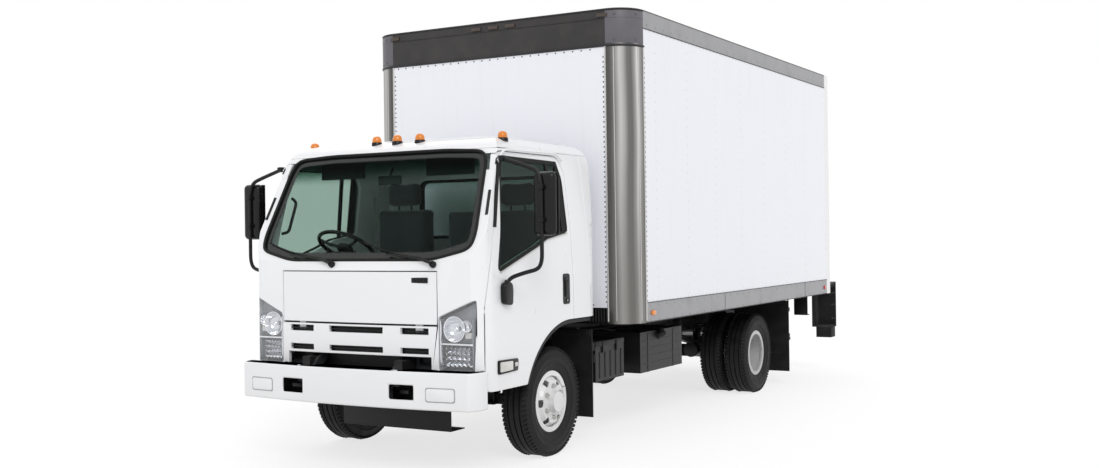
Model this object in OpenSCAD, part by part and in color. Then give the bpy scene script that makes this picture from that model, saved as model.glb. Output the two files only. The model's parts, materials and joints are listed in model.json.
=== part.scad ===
// Box truck: tilting cab on a ladder frame, dry-freight body, dual rear wheels
// and a folded lift gate. The front faces -Y, +X is the truck's left, +Z is up.
// Modules draw with the front axle at y = 0 and the ground at z = 0; at_axle()
// moves them so that the origin lies under the middle of the whole truck.

/* [Overall] */
// Front axle to rear axle
wheelbase = 3810; // [3600:10:4200]
// Front of the bumper to the front axle
front_overhang = 1180; // [1180:10:1250]
// Front axle to the front wall of the body
body_start = 729; // [720:5:820]
// Length of the body's side rails
body_len = 4877; // [4600:10:6000]
// Width of the body
body_w = 2438; // [2300:2:2550]
// Height of the body's roof rails above the ground
body_top = 3280; // [2900:10:3400]

/* [Body] */
// Underside of the body's side rails
body_bottom = 882; // [875:1:900]
// Top of the load floor
floor_top = 1036; // [1030:1:1060]
// Thickness of the body's walls
wall_t = 30; // [20:1:40]
// Outer radius of the front corner posts
post_r = 215; // [150:5:260]
// Depth of the rear frame along the truck
rear_frame_d = 121; // [90:1:150]
// How far the rear frame stands behind the side rails
rear_frame_proud = 57; // [0:1:80]
// Width of a rear frame post
rear_post_w = 110; // [80:1:140]
// Height of the dark cap across the front
cap_h = 285; // [200:5:320]
// Height of the roof side rails
top_rail_h = 140; // [100:5:180]

/* [Frame] */
// Half the width over the frame rails
rail_x = 425; // [400:5:440]
// Top of the frame rails
rail_top = 800; // [790:1:810]
// Height of a frame rail
rail_h = 190; // [170:5:200]
// Width of a rail's flanges
rail_flange = 65; // [55:1:75]
// Thickness of a rail
rail_t = 8; // [6:0.5:10]

/* [Wheels] */
// Outer radius of the tyres
tyre_r = 385; // [370:1:395]
// Width of a tyre
tyre_w = 216; // [200:1:225]
// Radius of the rim's bead seat
rim_r = 203; // [200:1:206]
// Truck's centre to the middle of a front tyre
front_track_x = 832; // [825:1:840]
// Truck's centre to the middle of a pair of rear tyres
rear_track_x = 825; // [820:1:835]
// Distance between the middles of two twin tyres
dual_pitch = 252; // [246:1:262]
// Truck's centre to a kingpin
kingpin_x = 715; // [700:1:720]

/* [Cab] */
// Half the width of the cab over its doors
cab_x = 1000; // [980:5:1020]
// Front of the cab to the front axle
cab_front_y = 1045; // [1040:1:1050]
// Front axle to the back of the cab
cab_back_y = 605; // [590:5:615]
// Height of the cab's roof
cab_top = 2280; // [2240:5:2320]
// Thickness of the cab's walls
cab_t = 30; // [25:1:35]
// Thickness of a door
door_t = 50; // [40:1:60]
// Gap round a door or the front lid
shut_gap = 6; // [5:0.5:8]
// Height of the pivot on which the cab tilts
tilt_z = 620; // [610:1:630]
// Pivot on which the cab tilts, ahead of the front axle
tilt_y = 1100; // [1090:1:1110]

/* [Lift gate] */
// Depth of the bed extension behind the rear frame
gate_d = 214; // [180:1:240]
// Half the width of the folded platform
platform_x = 760; // [650:5:800]

/* [Hidden] */
body_end = body_start + body_len;
rear_y = body_end + rear_frame_proud;
gate_y = rear_y + gate_d;
overall_len = front_overhang + gate_y;
axle_y = front_overhang - overall_len / 2;
body_x = body_w / 2;
frame_y = rear_y - rear_frame_d;
rail_bot = rail_top - rail_h;
rail_in = rail_x - rail_flange;
rail_web = rail_x - rail_t;
post_y = body_start + post_r;
post_x = body_x - post_r;
wall_top = body_top - top_rail_h;
cap_bot = body_top - cap_h;
rail_in_x = body_x - 40;
top_rail_w = 50;
floor_bot = 1000;
clear = 0.3;
fit = 0.1;

// ---------------------------------------------------------------- helpers

module at_axle() translate([0, axle_y, 0]) children();

// Both sides, the children drawn for the left
module pair() {
    children();
    mirror([1, 0, 0]) children();
}

// The left side's children, or their mirror image for side = -1
module sided(side) {
    if (side > 0) children();
    else mirror([1, 0, 0]) children();
}

// A block given by its lowest and highest corners
module block(lo, hi) translate(lo) cube(hi - lo);

// An outline in Y and Z, extruded from x0 to x1
module side_plate(x0, x1) {
    translate([x0, 0, 0]) rotate([90, 0, 90]) linear_extrude(x1 - x0) children();
}

// An outline in X and Z, extruded from y0 to y1
module face_plate(y0, y1) {
    translate([0, y1, 0]) rotate([90, 0, 0]) linear_extrude(y1 - y0) children();
}

// An outline whose corners are eased: each curve starts r before its corner and ends r after it
function eased(p, r, n = 4) = [
    for (k = [0 : len(p) - 1])
        let (a = p[(k + len(p) - 1) % len(p)], b = p[k], c = p[(k + 1) % len(p)],
             s = b + (a - b) / norm(a - b) * min(r, norm(b - a) * 0.45),
             e = b + (c - b) / norm(c - b) * min(r, norm(c - b) * 0.45))
            for (j = [0 : n]) let (t = j / n) (1 - t) * (1 - t) * s + 2 * t * (1 - t) * b + t * t * e
];

// A rod along X
module rod_x(r, x0, x1) translate([x0, 0, 0]) rotate([0, 90, 0]) cylinder(r = r, h = x1 - x0, $fn = 48);

// ---------------------------------------------------------------- chassis

horn_y = -985;
pivot_r = 15;
tow_x = 460;
tow_y = -1085;
tow_z = 560;
tow_r = 20;
tow_t = 22;
tow_w = 34;
module frame_rails() color("#1c1c1e") at_axle() pair() {
    difference() {
        block([rail_in, horn_y, rail_bot], [rail_x, frame_y - 40, rail_top]);
        block([rail_in - 1, horn_y - 1, rail_bot + rail_t], [rail_web, frame_y - 39, rail_top - rail_t]);
    }
    block([rail_in, -1090, rail_bot], [rail_x, horn_y, rail_top - 45]);
    block([rail_in, -tilt_y - 30, tilt_z - 28], [rail_x, -1090, tilt_z + 50]);
    translate([0, -tilt_y, tilt_z]) rod_x(pivot_r, rail_in - 34, rail_in);
    block([rail_x, -1040, tow_z - tow_t / 2], [tow_x + tow_w, horn_y, rail_bot + 60]);
    difference() {
        block([tow_x - tow_w, tow_y - tow_w, tow_z - tow_t / 2], [tow_x + tow_w, -1040, tow_z + tow_t / 2]);
        translate([tow_x, tow_y, tow_z - tow_t]) cylinder(r = tow_r, h = 2 * tow_t, $fn = 48);
    }
}

crossmember_ys = [-860, 1180, 1900, 2700, 3330, 4290, 4850, 5440];
module crossmembers() color("#1c1c1e") at_axle() {
    for (y = crossmember_ys)
        block([-rail_web, y - 30, rail_bot + 40], [rail_web, y + 30, rail_top - 40]);
}

spring_w = 66;
spring_t = 40;
spring_half = 600;
spring_arc_r = 2000;
front_spring_x = 390;
rear_spring_x = 468;
front_pad_z = 440;
rear_pad_z = 462;

// A leaf pack: an arc that rises to its ends, with a hanger at each end
module leaf_pack(pad_z, hanger_top) {
    end_z = spring_arc_r - sqrt(spring_arc_r * spring_arc_r - spring_half * spring_half);
    side_plate(-spring_w / 2, spring_w / 2) {
        intersection() {
            translate([0, pad_z + spring_arc_r]) difference() {
                circle(r = spring_arc_r, $fn = 200);
                circle(r = spring_arc_r - spring_t, $fn = 200);
            }
            translate([-spring_half, pad_z - 1]) square([2 * spring_half, end_z + 50]);
        }
        for (s = [-1, 1])
            translate([s * spring_half - 30, pad_z + end_z - 10])
                square([60, hanger_top - pad_z - end_z + 10]);
    }
}

module leaf_springs() color("#242426") at_axle() pair() {
    translate([front_spring_x, 0, 0]) leaf_pack(front_pad_z, rail_bot);
    translate([rear_spring_x, wheelbase, 0]) leaf_pack(rear_pad_z, rail_top - 60);
    for (s = [-1, 1])
        block([rail_x, wheelbase + s * spring_half - 30, rail_bot + 30],
              [rear_spring_x, wheelbase + s * spring_half + 30, rail_top - 60]);
}

kingpin_r = 20;
axle_beam_bot = 345;
eye_h = 70;
module front_axle() color("#242426") at_axle() {
    difference() {
        union() {
            block([-640, -38, axle_beam_bot], [640, 38, axle_beam_bot + 70]);
            pair() block([front_spring_x - 60, -60, 414], [front_spring_x + 60, 60, front_pad_z]);
            pair() block([620, -30, tyre_r - eye_h / 2], [kingpin_x, 30, tyre_r + eye_h / 2]);
            pair() translate([kingpin_x, 0, tyre_r - eye_h / 2]) cylinder(r = 34, h = eye_h, $fn = 48);
        }
        pair() translate([kingpin_x, 0, 300]) cylinder(r = kingpin_r + fit, h = 200, $fn = 48);
    }
}

spindle_r = 30;
hub_x = front_track_x + 75;
// The knuckle: a fork round the axle's eye, its kingpin and the wheel's spindle
module knuckle(side) color("#303032") at_axle() sided(side) {
    for (s = [-1, 1])
        translate([kingpin_x, 0, tyre_r + s * (eye_h / 2 + 13)])
            cylinder(r = 32, h = 24, center = true, $fn = 48);
    translate([kingpin_x, 0, tyre_r - 60]) cylinder(r = kingpin_r, h = 120, $fn = 48);
    block([kingpin_x + 38, -40, tyre_r - 60], [kingpin_x + 60, 40, tyre_r + 60]);
    for (s = [-1, 1])
        block([kingpin_x, -26, tyre_r + s * 48 - 12], [kingpin_x + 40, 26, tyre_r + s * 48 + 12]);
    translate([0, 0, tyre_r]) rod_x(spindle_r, kingpin_x + 50, hub_x + 20);
}

diff_r = 165;
rear_tube_r = 62;
rear_spindle_r = 45;
dual_face = rear_track_x;
module rear_axle() color("#242426") at_axle() translate([0, wheelbase, 0]) {
    translate([0, 0, tyre_r]) {
        rod_x(rear_tube_r, -560, 560);
        rod_x(rear_spindle_r, -dual_face - 30, dual_face + 30);
        intersection() {
            sphere(r = diff_r, $fn = 60);
            rod_x(diff_r + 5, -110, 110);
        }
        rotate([90, 0, 0]) cylinder(r = 70, h = 230, $fn = 48);
    }
    pair() block([rear_spring_x - 50, -60, tyre_r], [rear_spring_x + 50, 60, rear_pad_z]);
}

shaft_r = 42;
gearbox_end = 1050;
gearbox_z = 560;
diff_nose_y = wheelbase - 230;
module drive_shaft() color("#303032") at_axle() {
    end_gap = shaft_r * sin(4) + clear;
    run = diff_nose_y - gearbox_end - 2 * end_gap;
    drop = gearbox_z - tyre_r;
    translate([0, gearbox_end + end_gap, gearbox_z])
        rotate([-90 - atan2(drop, run), 0, 0])
            cylinder(r = shaft_r, h = sqrt(run * run + drop * drop), $fn = 48);
}

module engine_block() color("#5a5c5e") at_axle() {
    block([-300, -330, 470], [300, 560, 960]);
    block([-170, 560, 450], [170, gearbox_end, 730]);
    pair() block([300, 60, rail_bot + 50], [rail_web, 160, rail_top - 50]);
}

tank_y = [1420, 2250];
module fuel_tank() color("#1a1a1c") at_axle() {
    difference() {
        block([480, tank_y[0], 430], [930, tank_y[1], 760]);
        block([479, tank_y[0] - 1, 429], [520, tank_y[1] + 1, 470]);
    }
    for (y = [tank_y[0] + 120, tank_y[1] - 180])
        block([rail_x, y, 640], [480, y + 60, 720]);
}

module battery_box() color("#1a1a1c") at_axle() {
    block([500, 700, 440], [900, 1180, 740]);
    for (y = [760, 1060])
        block([rail_x, y, 640], [500, y + 60, 720]);
}

module exhaust() color("#5c5854") at_axle() mirror([1, 0, 0]) {
    translate([620, 1300, 540]) rotate([-90, 0, 0]) cylinder(r = 130, h = 900, $fn = 64);
    translate([620, 2200, 540]) rotate([-90, 0, 0]) cylinder(r = 38, h = 700, $fn = 48);
    for (y = [1450, 2000])
        block([rail_x, y, 640], [560, y + 50, 700]);
}

bumper_top = 698;
bumper_bot = 455;
bumper_t = 24;
bumper_back = 950;
bumper_corner_r = 200;
bow_r = 6500;
// The bumper's outline seen from above, i inside its outer face
module bumper_plan(i) intersection() {
    translate([0, -front_overhang + bow_r]) circle(r = bow_r - i, $fn = 400);
    union() {
        translate([-cab_x + i, -front_overhang + bumper_corner_r])
            square([2 * (cab_x - i), front_overhang - bumper_corner_r - bumper_back + i]);
        translate([-cab_x + bumper_corner_r, -front_overhang + i])
            square([2 * (cab_x - bumper_corner_r), front_overhang - bumper_back]);
        for (s = [-1, 1])
            translate([s * (cab_x - bumper_corner_r), -front_overhang + bumper_corner_r])
                circle(r = bumper_corner_r - i, $fn = 96);
    }
    translate([-cab_x, -front_overhang]) square([2 * cab_x, front_overhang - bumper_back + i]);
}

module front_bumper() color("#f2f2f2") at_axle() {
    difference() {
        translate([0, 0, bumper_bot]) linear_extrude(bumper_top - bumper_bot) bumper_plan(0);
        translate([0, 0, bumper_bot - 1]) linear_extrude(bumper_top - bumper_bot + 2) bumper_plan(bumper_t);
        pair() block([365, -front_overhang - 1, 515], [555, -front_overhang + 60, 610]);
    }
    pair() block([rail_in, -front_overhang + bumper_t + 3, rail_bot + 60], [rail_x, -1090, bumper_top - 6]);
}

flap_t = 12;
rear_flap_y = wheelbase + 640;
module mud_flaps() color("#151515") at_axle() pair() {
    block([650, 475, 210], [990, 475 + flap_t, 860]);
    block([rail_x, 487, 700], [990, 520, 760]);
    block([560, rear_flap_y, 140], [1150, rear_flap_y + flap_t, body_bottom - 20]);
    block([rail_x, rear_flap_y + flap_t, 750], [1150, rear_flap_y + 40, 790]);
}

// ---------------------------------------------------------------- box body

// The space inside the walls seen from above, with round front corners
module inside_plan(x_half, r, y_end) {
    translate([-post_x, body_start + wall_t]) square([2 * post_x, post_r - wall_t]);
    for (s = [-1, 1]) intersection() {
        translate([s * post_x, post_y]) circle(r = r, $fn = 96);
        translate([s > 0 ? post_x : -x_half, body_start]) square([x_half - post_x, post_r]);
    }
    translate([-x_half, post_y]) square([2 * x_half, y_end - post_y]);
}

sill_pitch = 406;
sill_d = 50;
sill_bot = body_bottom + 20;
front_sill_d = wall_t + 20;
module box_floor() color("#2a2a2c") at_axle() {
    in_r = post_r - wall_t - clear;
    translate([0, 0, floor_bot]) linear_extrude(floor_top - floor_bot)
        inside_plan(rail_in_x, in_r, frame_y);
    block([-post_x, body_start, body_bottom], [post_x, body_start + front_sill_d, floor_bot]);
}

module cross_sills() color("#2a2a2c") at_axle() {
    for (y = [post_y + 60 : sill_pitch : frame_y - 80])
        block([-rail_in_x, y, sill_bot], [rail_in_x, y + sill_d, floor_bot]);
}

module long_sills() color("#2a2a2c") at_axle() pair() {
    block([rail_in, body_start + front_sill_d + clear, rail_top], [rail_x, frame_y - 40, sill_bot]);
}

module box_front_wall() color("#eef0f6") at_axle() {
    block([-post_x, body_start, floor_bot], [post_x, body_start + wall_t, cap_bot]);
}

module box_side_walls() color("#eef0f6") at_axle() pair() {
    block([body_x - wall_t, post_y, floor_top], [body_x, frame_y, wall_top]);
}

// A quarter ring at the left front corner
module corner_ring(z0, z1) intersection() {
    translate([post_x, post_y, z0]) difference() {
        cylinder(r = post_r, h = z1 - z0, $fn = 96);
        translate([0, 0, -1]) cylinder(r = post_r - wall_t, h = z1 - z0 + 2, $fn = 96);
    }
    block([post_x, body_start, z0], [body_x, post_y, z1]);
}

post_cap_h = 220;
module box_corner_posts() color("#9a9a98") at_axle() pair() {
    corner_ring(body_bottom, body_top - post_cap_h);
}

module box_front_cap() color("#3c3c3e") at_axle() {
    block([-post_x, body_start, cap_bot], [post_x, body_start + wall_t, body_top]);
    pair() corner_ring(body_top - post_cap_h, body_top);
}

module box_side_rails() color("#a8aaac") at_axle() pair() {
    block([rail_in_x, post_y, body_bottom], [body_x, frame_y, floor_top]);
    block([body_x - top_rail_w, post_y, wall_top], [body_x, frame_y, body_top]);
}

roof_t = 24;
module box_roof() color("#d8dadc") at_axle() {
    translate([0, 0, body_top - 10 - roof_t]) linear_extrude(roof_t)
        inside_plan(body_x - top_rail_w, post_r - wall_t - clear, frame_y);
    for (y = [post_y + 100 : 610 : frame_y - 100])
        block([-body_x + top_rail_w, y, body_top - 80], [body_x - top_rail_w, y + 40, body_top - 10 - roof_t]);
}

header_h = 200;
module rear_frame() color("#f0f0f0") at_axle() difference() {
    block([-body_x, frame_y, body_bottom], [body_x, rear_y, body_top]);
    block([-body_x + rear_post_w, frame_y - 1, floor_top], [body_x - rear_post_w, rear_y + 1, body_top - header_h]);
}

door_panels = 5;
roll_t = 28;
module roll_door() color("#eceef2") at_axle() {
    x = body_x - rear_post_w;
    z0 = floor_top;
    z1 = body_top - header_h;
    pitch = (z1 - z0) / door_panels;
    difference() {
        block([-x, frame_y + 30, z0], [x, frame_y + 30 + roll_t, z1]);
        for (i = [1 : door_panels - 1])
            block([-x - 1, frame_y + 20 + roll_t, z0 + i * pitch - 4], [x + 1, frame_y + 31 + roll_t, z0 + i * pitch + 4]);
    }
}

arm_pivot_y = 4950;
arm_pivot_z = 500;
arm_end_y = 5620;
arm_end_z = 470;
arm_x = 540;
arm_tube_r = 35;
ext_top = 1000;
module liftgate_frame() color("#141414") at_axle() {
    block([-body_x, rear_y, ext_top - 30], [body_x, gate_y, ext_top]);
    pair() {
        difference() {
            block([body_x - 220, rear_y + 30, 500], [body_x, gate_y, ext_top - 30]);
            block([body_x - 190, rear_y + 29, 520], [body_x + 1, gate_y - 20, ext_top - 60]);
        }
        block([body_x - 180, rear_y + 50, 385], [body_x - 14, gate_y, 500]);
        block([rail_in, frame_y - 39, rail_bot + 40], [rail_x, rear_y + 60, rail_bot + 100]);
        block([rail_in, rear_y + 30, rail_bot + 100], [rail_x, rear_y + 60, ext_top - 30]);
        difference() {
            block([rail_in, arm_pivot_y - 50, arm_pivot_z - 60], [rail_x, arm_pivot_y + 50, rail_bot]);
            translate([0, arm_pivot_y, arm_pivot_z]) rod_x(arm_tube_r + fit, rail_in - 1, rail_x + 1);
        }
    }
}

module lift_arms() color("#1a1a1a") at_axle() {
    translate([0, arm_pivot_y, arm_pivot_z]) rod_x(arm_tube_r, -arm_x, arm_x);
    pair() difference() {
        union() {
            translate([arm_x - 30, arm_pivot_y, arm_pivot_z]) rod_x(48, 0, 30);
            translate([arm_x - 30, arm_end_y, arm_end_z]) rod_x(40, 0, 30);
            side_plate(arm_x - 30, arm_x)
                polygon([[arm_pivot_y, arm_pivot_z - 35], [arm_end_y, arm_end_z - 30],
                         [arm_end_y, arm_end_z + 30], [arm_pivot_y, arm_pivot_z + 35]]);
        }
        translate([0, arm_end_y, arm_end_z]) rod_x(18 + fit, arm_x - 40, arm_x + 10);
    }
}

module lift_platform() color("#303032") at_axle() {
    block([-platform_x, arm_pivot_y + 50, 350], [platform_x, arm_end_y + 30, 384]);
    block([-platform_x, arm_pivot_y + 60, 390], [platform_x, arm_end_y + 20, 424]);
    block([-platform_x, arm_end_y - 10, 384], [platform_x, arm_end_y + 10, 390]);
    pair() {
        block([arm_x + 5, arm_end_y - 30, 424], [arm_x + 30, arm_end_y + 30, arm_end_z + 35]);
        translate([0, arm_end_y, arm_end_z]) rod_x(18, arm_x - 38, arm_x + 30);
    }
}

// ---------------------------------------------------------------- cab

cab_corner_r = 240;
cab_rear_r = 160;
cab_bow_r = 8700;
belt_z = 1345;
arch_y = 150;
arch_z = 290;
arch_r = 670;
back_bottom = 960;
grille_bot = 780;
lamp_bot = 700;

// The cab's outline seen from above, i inside its outer face
module cab_plan(i) intersection() {
    translate([0, -cab_front_y + cab_bow_r]) circle(r = cab_bow_r - i, $fn = 400);
    union() {
        translate([-cab_x + i, -cab_front_y + cab_corner_r])
            square([2 * (cab_x - i), cab_front_y + cab_back_y - cab_corner_r - cab_rear_r]);
        translate([-cab_x + cab_corner_r, -cab_front_y + i])
            square([2 * (cab_x - cab_corner_r), cab_front_y + cab_back_y - 2 * i]);
        translate([-cab_x + cab_rear_r, 0]) square([2 * (cab_x - cab_rear_r), cab_back_y - i]);
        for (s = [-1, 1]) {
            translate([s * (cab_x - cab_corner_r), -cab_front_y + cab_corner_r])
                circle(r = cab_corner_r - i, $fn = 96);
            translate([s * (cab_x - cab_rear_r), cab_back_y - cab_rear_r])
                circle(r = cab_rear_r - i, $fn = 96);
        }
    }
}

// The cab's outline seen from its side, i inside its outer face: y, z
module cab_profile(i) {
    polygon(eased([
        [-cab_front_y + i, 500], [-cab_front_y + i, belt_z], [-cab_front_y + 40 + i, 1405],
        [-650 + i, 2170], [-560 + i * 0.6, 2230 - i], [-350, 2268 - i], [100, cab_top - i],
        [430, 2262 - i], [540, 2225 - i * 0.8], [590 - i, 2150], [cab_back_y - i, 1900],
        [cab_back_y - i, 500]
    ], 55, 3));
}

// The cab's outline seen from the front, i inside its outer face: x, z
module cab_face(i) {
    half = [[cab_x - i, 500], [cab_x - i, 1250], [cab_x - 20 - i, 1600], [918 - i, 2110],
            [880 - i, 2190 - i * 0.4], [800, 2240 - i], [500, 2268 - i], [200, cab_top - i]];
    polygon(eased(concat(half, [for (k = [len(half) - 1 : -1 : 0]) [-half[k][0], half[k][1]]]), 70, 3));
}

module cab_solid(i) intersection() {
    translate([0, 0, 500]) linear_extrude(cab_top - 400) cab_plan(i);
    side_plate(-cab_x, cab_x) cab_profile(i);
    face_plate(-cab_front_y - 1, cab_back_y + 1) cab_face(i);
}

module cab_shell() difference() {
    cab_solid(0);
    cab_solid(cab_t);
}

// What is cut from below: the wheel arches, and the gap above the bumper
module under_cut() {
    side_plate(-cab_x - 1, cab_x + 1) {
        translate([arch_y, arch_z]) circle(r = arch_r, $fn = 128);
        translate([arch_y, 400]) square([cab_back_y, back_bottom - 400]);
        translate([-cab_front_y - 1, 400]) square([cab_front_y, 160]);
        translate([-cab_front_y - 1, 400]) square([116, lamp_bot - 400]);
        translate([-cab_front_y - 1, 400]) square([cab_front_y + door_front_y + 40, 200]);
    }
    block([-610, -cab_front_y - 1, 400], [610, -900, grille_bot]);
}

door_front_y = -925;
door_rear_y = 190;
// A door's outline seen from its side, grown by g: y, z
module door_outline(g) difference() {
    polygon(eased([
        [door_front_y - g, 560 - g], [door_rear_y + g, 560 - g], [door_rear_y + g, 2010],
        [110 + g * 0.6, 2125 + g], [-650 - g, 2125 + g], [-700 - g, 2085], [-880 - g, 1400],
        [door_front_y - g, 1100]
    ], 40));
    translate([arch_y, arch_z]) circle(r = arch_r - g, $fn = 128);
}

// The window opening in a door, i inside it: y, z
module door_window(i) polygon(eased([
    [-800 + i * 1.6, 1335 + i], [-300, 1490 + i], [-160, 1545 + i], [130 - i, 1590 + i],
    [130 - i, 1960], [70 - i, 2070 - i], [-655 + i, 2070 - i]
], 35));

module door_cut() pair() side_plate(cab_x - 200, cab_x + 1) door_outline(shut_gap);

floor_front_z = 690;
floor_deck_z = 1020;
riser_y = -470;
tunnel_x = 470;
tilt_lug_x = rail_in - 30;
slab = 40;
module cab_floor() color("#3a3a3c") at_axle() {
    inner = cab_x - door_t - 8;
    intersection() {
        cab_solid(cab_t + clear);
        union() {
            side_plate(-inner, inner) polygon([
                [riser_y, floor_deck_z - 160], [riser_y + slab, floor_deck_z - 160],
                [riser_y + slab, floor_deck_z], [cab_back_y, floor_deck_z],
                [cab_back_y, floor_deck_z + slab], [riser_y, floor_deck_z + slab]
            ]);
            side_plate(-tunnel_x, tunnel_x) polygon([
                [-cab_front_y, 860], [riser_y, 860], [riser_y, 900], [-cab_front_y, 900]
            ]);
        }
    }
    pair() {
        block([tunnel_x, -940, floor_front_z], [inner - 60, riser_y, floor_front_z + slab]);
        block([tunnel_x - slab, -940, floor_front_z], [tunnel_x, riser_y, 860]);
        block([tunnel_x, riser_y - slab, floor_front_z + slab], [inner - 60, riser_y, floor_deck_z + slab]);
        difference() {
            side_plate(tilt_lug_x, tilt_lug_x + 24) polygon([
                [-900, 860], [-960, 860], [-975, 770], [-1035, 745], [-tilt_y - 18, tilt_z + 24],
                [-tilt_y - 24, tilt_z], [-tilt_y - 18, tilt_z - 22], [-tilt_y + 10, tilt_z - 28],
                [-tilt_y + 40, tilt_z - 10], [-1000, 690], [-900, 760]
            ]);
            translate([0, -tilt_y, tilt_z]) rod_x(pivot_r + fit, tilt_lug_x - 1, tilt_lug_x + 25);
        }
    }
}

rear_window = [[-620, 1560], [620, 2010]];
// The rear window's outline, i inside its opening: x, z
module rear_opening(i) polygon(eased([
    [rear_window[0][0] + i, rear_window[0][1] + i], [rear_window[1][0] - i, rear_window[0][1] + i],
    [rear_window[1][0] - i, rear_window[1][1] - i], [rear_window[0][0] + i, rear_window[1][1] - i]
], 70));

module cab_back() color("#f4f4f4") at_axle() difference() {
    intersection() {
        cab_shell();
        block([-cab_x, cab_back_y - cab_rear_r, 500], [cab_x, cab_back_y + 1, 2150]);
    }
    under_cut();
    face_plate(400, 700) rear_opening(0);
}

module cab_roof() color("#f4f4f4") at_axle() difference() {
    intersection() {
        cab_shell();
        block([-cab_x, -700, 2150], [cab_x, cab_back_y + 1, cab_top + 1]);
    }
}

// The windscreen's opening seen from the front, i inside it: x, z
module screen_face(i) {
    right = [[600, 1412 + i], [884 - i, 1480 + i], [905 - i, 1570], [848 - i, 2050],
             [806 - i, 2132 - i], [500, 2150 - i]];
    polygon(eased(concat(right, [for (k = [len(right) - 1 : -1 : 0]) [-right[k][0], right[k][1]]]), 70));
}

lid = [[-654, 992], [654, 1335]];
lid_gap_below = 12;
slot_rows = [[797, 836], [925, 967]];
module cab_front() color("#f4f4f4") at_axle() {
    cab_front_skin();
    pair() intersection() {
        cab_solid(cab_t + clear);
        block([470, -cab_front_y, 940], [530, -960, lid[0][1] + 40]);
    }
    pair() intersection() {
        cab_solid(cab_t / 2);
        block([470, -cab_front_y, 969], [530, -960, lid[0][1] - lid_gap_below]);
    }
    for (z = hinge_zs)
        pair() block([948, door_front_y - shut_gap - 1, z], [962, door_front_y - clear, z + 60]);
}

hinge_zs = [745, 1050];
module cab_front_skin() difference() {
    intersection() {
        cab_shell();
        block([-cab_x, -cab_front_y - 1, 500], [cab_x, cab_back_y - cab_rear_r, 2150]);
    }
    under_cut();
    door_cut();
    face_plate(-cab_front_y - 1, -300) screen_face(0);
    block([lid[0][0] - shut_gap, -cab_front_y - 1, lid[0][1] - lid_gap_below],
          [lid[1][0] + shut_gap, -900, lid[1][1] + shut_gap]);
    for (row = slot_rows) {
        block([-230, -cab_front_y - 1, row[0]], [230, -900, row[1]]);
        pair() block([370, -cab_front_y - 1, row[0]], [590, -900, row[1]]);
    }
    pair() headlamp_cut(0);
}

lamp_in = 666;
lamp_out = 932;
// The space a headlamp fills, g inside it
module headlamp_cut(g) face_plate(-cab_front_y - 1, -780) polygon(eased([
    [lamp_in + g, lamp_bot - 1 + g], [lamp_out - g, lamp_bot - 1 + g], [lamp_out - g, 1155 - g],
    [lamp_in + g, 1042 - g]
], 18));

module headlamps() color("#c8ccd0") at_axle() pair() intersection() {
    cab_shell();
    headlamp_cut(clear);
    block([650, -cab_front_y - 1, lamp_bot], [cab_x, door_front_y - shut_gap, 1200]);
}

module front_lid() color("#f4f4f4") at_axle() intersection() {
    cab_shell();
    block([lid[0][0], -cab_front_y - 1, lid[0][1]], [lid[1][0], -900, lid[1][1]]);
}

glass_t = 6;
module cab_glass() color("#3c4a46") at_axle() {
    intersection() {
        difference() {
            cab_solid(10);
            cab_solid(10 + glass_t);
        }
        face_plate(-cab_front_y - 1, -300) screen_face(clear);
    }
    face_plate(cab_back_y - 20, cab_back_y - 20 + glass_t) rear_opening(clear);
}

flare_t = 24;
module wheel_flares() color("#1a1a1a") at_axle() pair() {
    r = arch_r - shut_gap;
    side_plate(cab_x - 130, cab_x - 8) {
        difference() {
            translate([arch_y, arch_z]) circle(r = r, $fn = 128);
            translate([arch_y, arch_z]) circle(r = r - flare_t, $fn = 128);
            translate([-arch_r, -arch_r]) square([2 * arch_r + 200, arch_r + 560]);
            translate([arch_y, -arch_r]) square([arch_r + 10, 3 * arch_r]);
        }
        translate([arch_y, arch_z + r - flare_t]) square([cab_back_y - cab_rear_r - arch_y, flare_t]);
    }
    for (y = [-110, 160])
        block([cab_x - 120, y, arch_z + r - 42], [cab_x - 70, y + 40, floor_deck_z]);
}

module dashboard() color("#2c2e30") at_axle() {
    difference() {
        union() {
            intersection() {
                cab_solid(cab_t + clear);
                side_plate(-880, 880) polygon([
                    [-cab_front_y, belt_z + 8], [-945, belt_z + 8], [-930, 1200], [-700, 1160], [-660, 1300],
                    [-700, 1380], [-900, 1398], [-cab_front_y, 1398]
                ]);
            }
            at_wheel() translate([0, 0, -330]) cylinder(r = 42, h = 220, $fn = 48);
        }
        at_wheel() translate([0, 0, -300]) cylinder(r = column_r + fit, h = 300, $fn = 48);
    }
}

// Driver's and passengers' seats: middle x, width
seats = [[-470, 520], [380, 900]];
module cab_seats() color("#3a3c40") at_axle() for (s = seats) {
    block([s[0] - s[1] / 2, -420, floor_deck_z + slab + clear], [s[0] + s[1] / 2, 120, 1300]);
    block([s[0] - s[1] / 2, 130, floor_deck_z + slab + clear], [s[0] + s[1] / 2, 260, 1850]);
}

// Roof marker lamps: x, y
markers = [[-830, -470], [-190, -540], [0, -550], [190, -540], [830, -470]];
module marker_lamps() color("#e08a20") at_axle() for (m = markers)
    difference() {
        translate([m[0], m[1], 2215]) cylinder(r = 32, h = 75, $fn = 48);
        cab_solid(0);
    }

wheel_y = -560;
wheel_z = 1500;
wheel_x = -470;
wheel_tilt = 32;
column_r = 22;
module at_wheel() translate([wheel_x, wheel_y, wheel_z]) rotate([-wheel_tilt, 0, 0]) children();

module steering_wheel() color("#202022") at_axle() at_wheel() {
    rotate_extrude($fn = 96) translate([205, 0]) circle(r = 14, $fn = 32);
    for (a = [0, 120, 240]) rotate([0, 0, a + 90]) translate([30, -14, -14]) cube([170, 28, 14]);
    translate([0, 0, -40]) cylinder(r = 50, h = 44, $fn = 64);
    translate([0, 0, -290]) cylinder(r = column_r, h = 260, $fn = 48);
}

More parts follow.
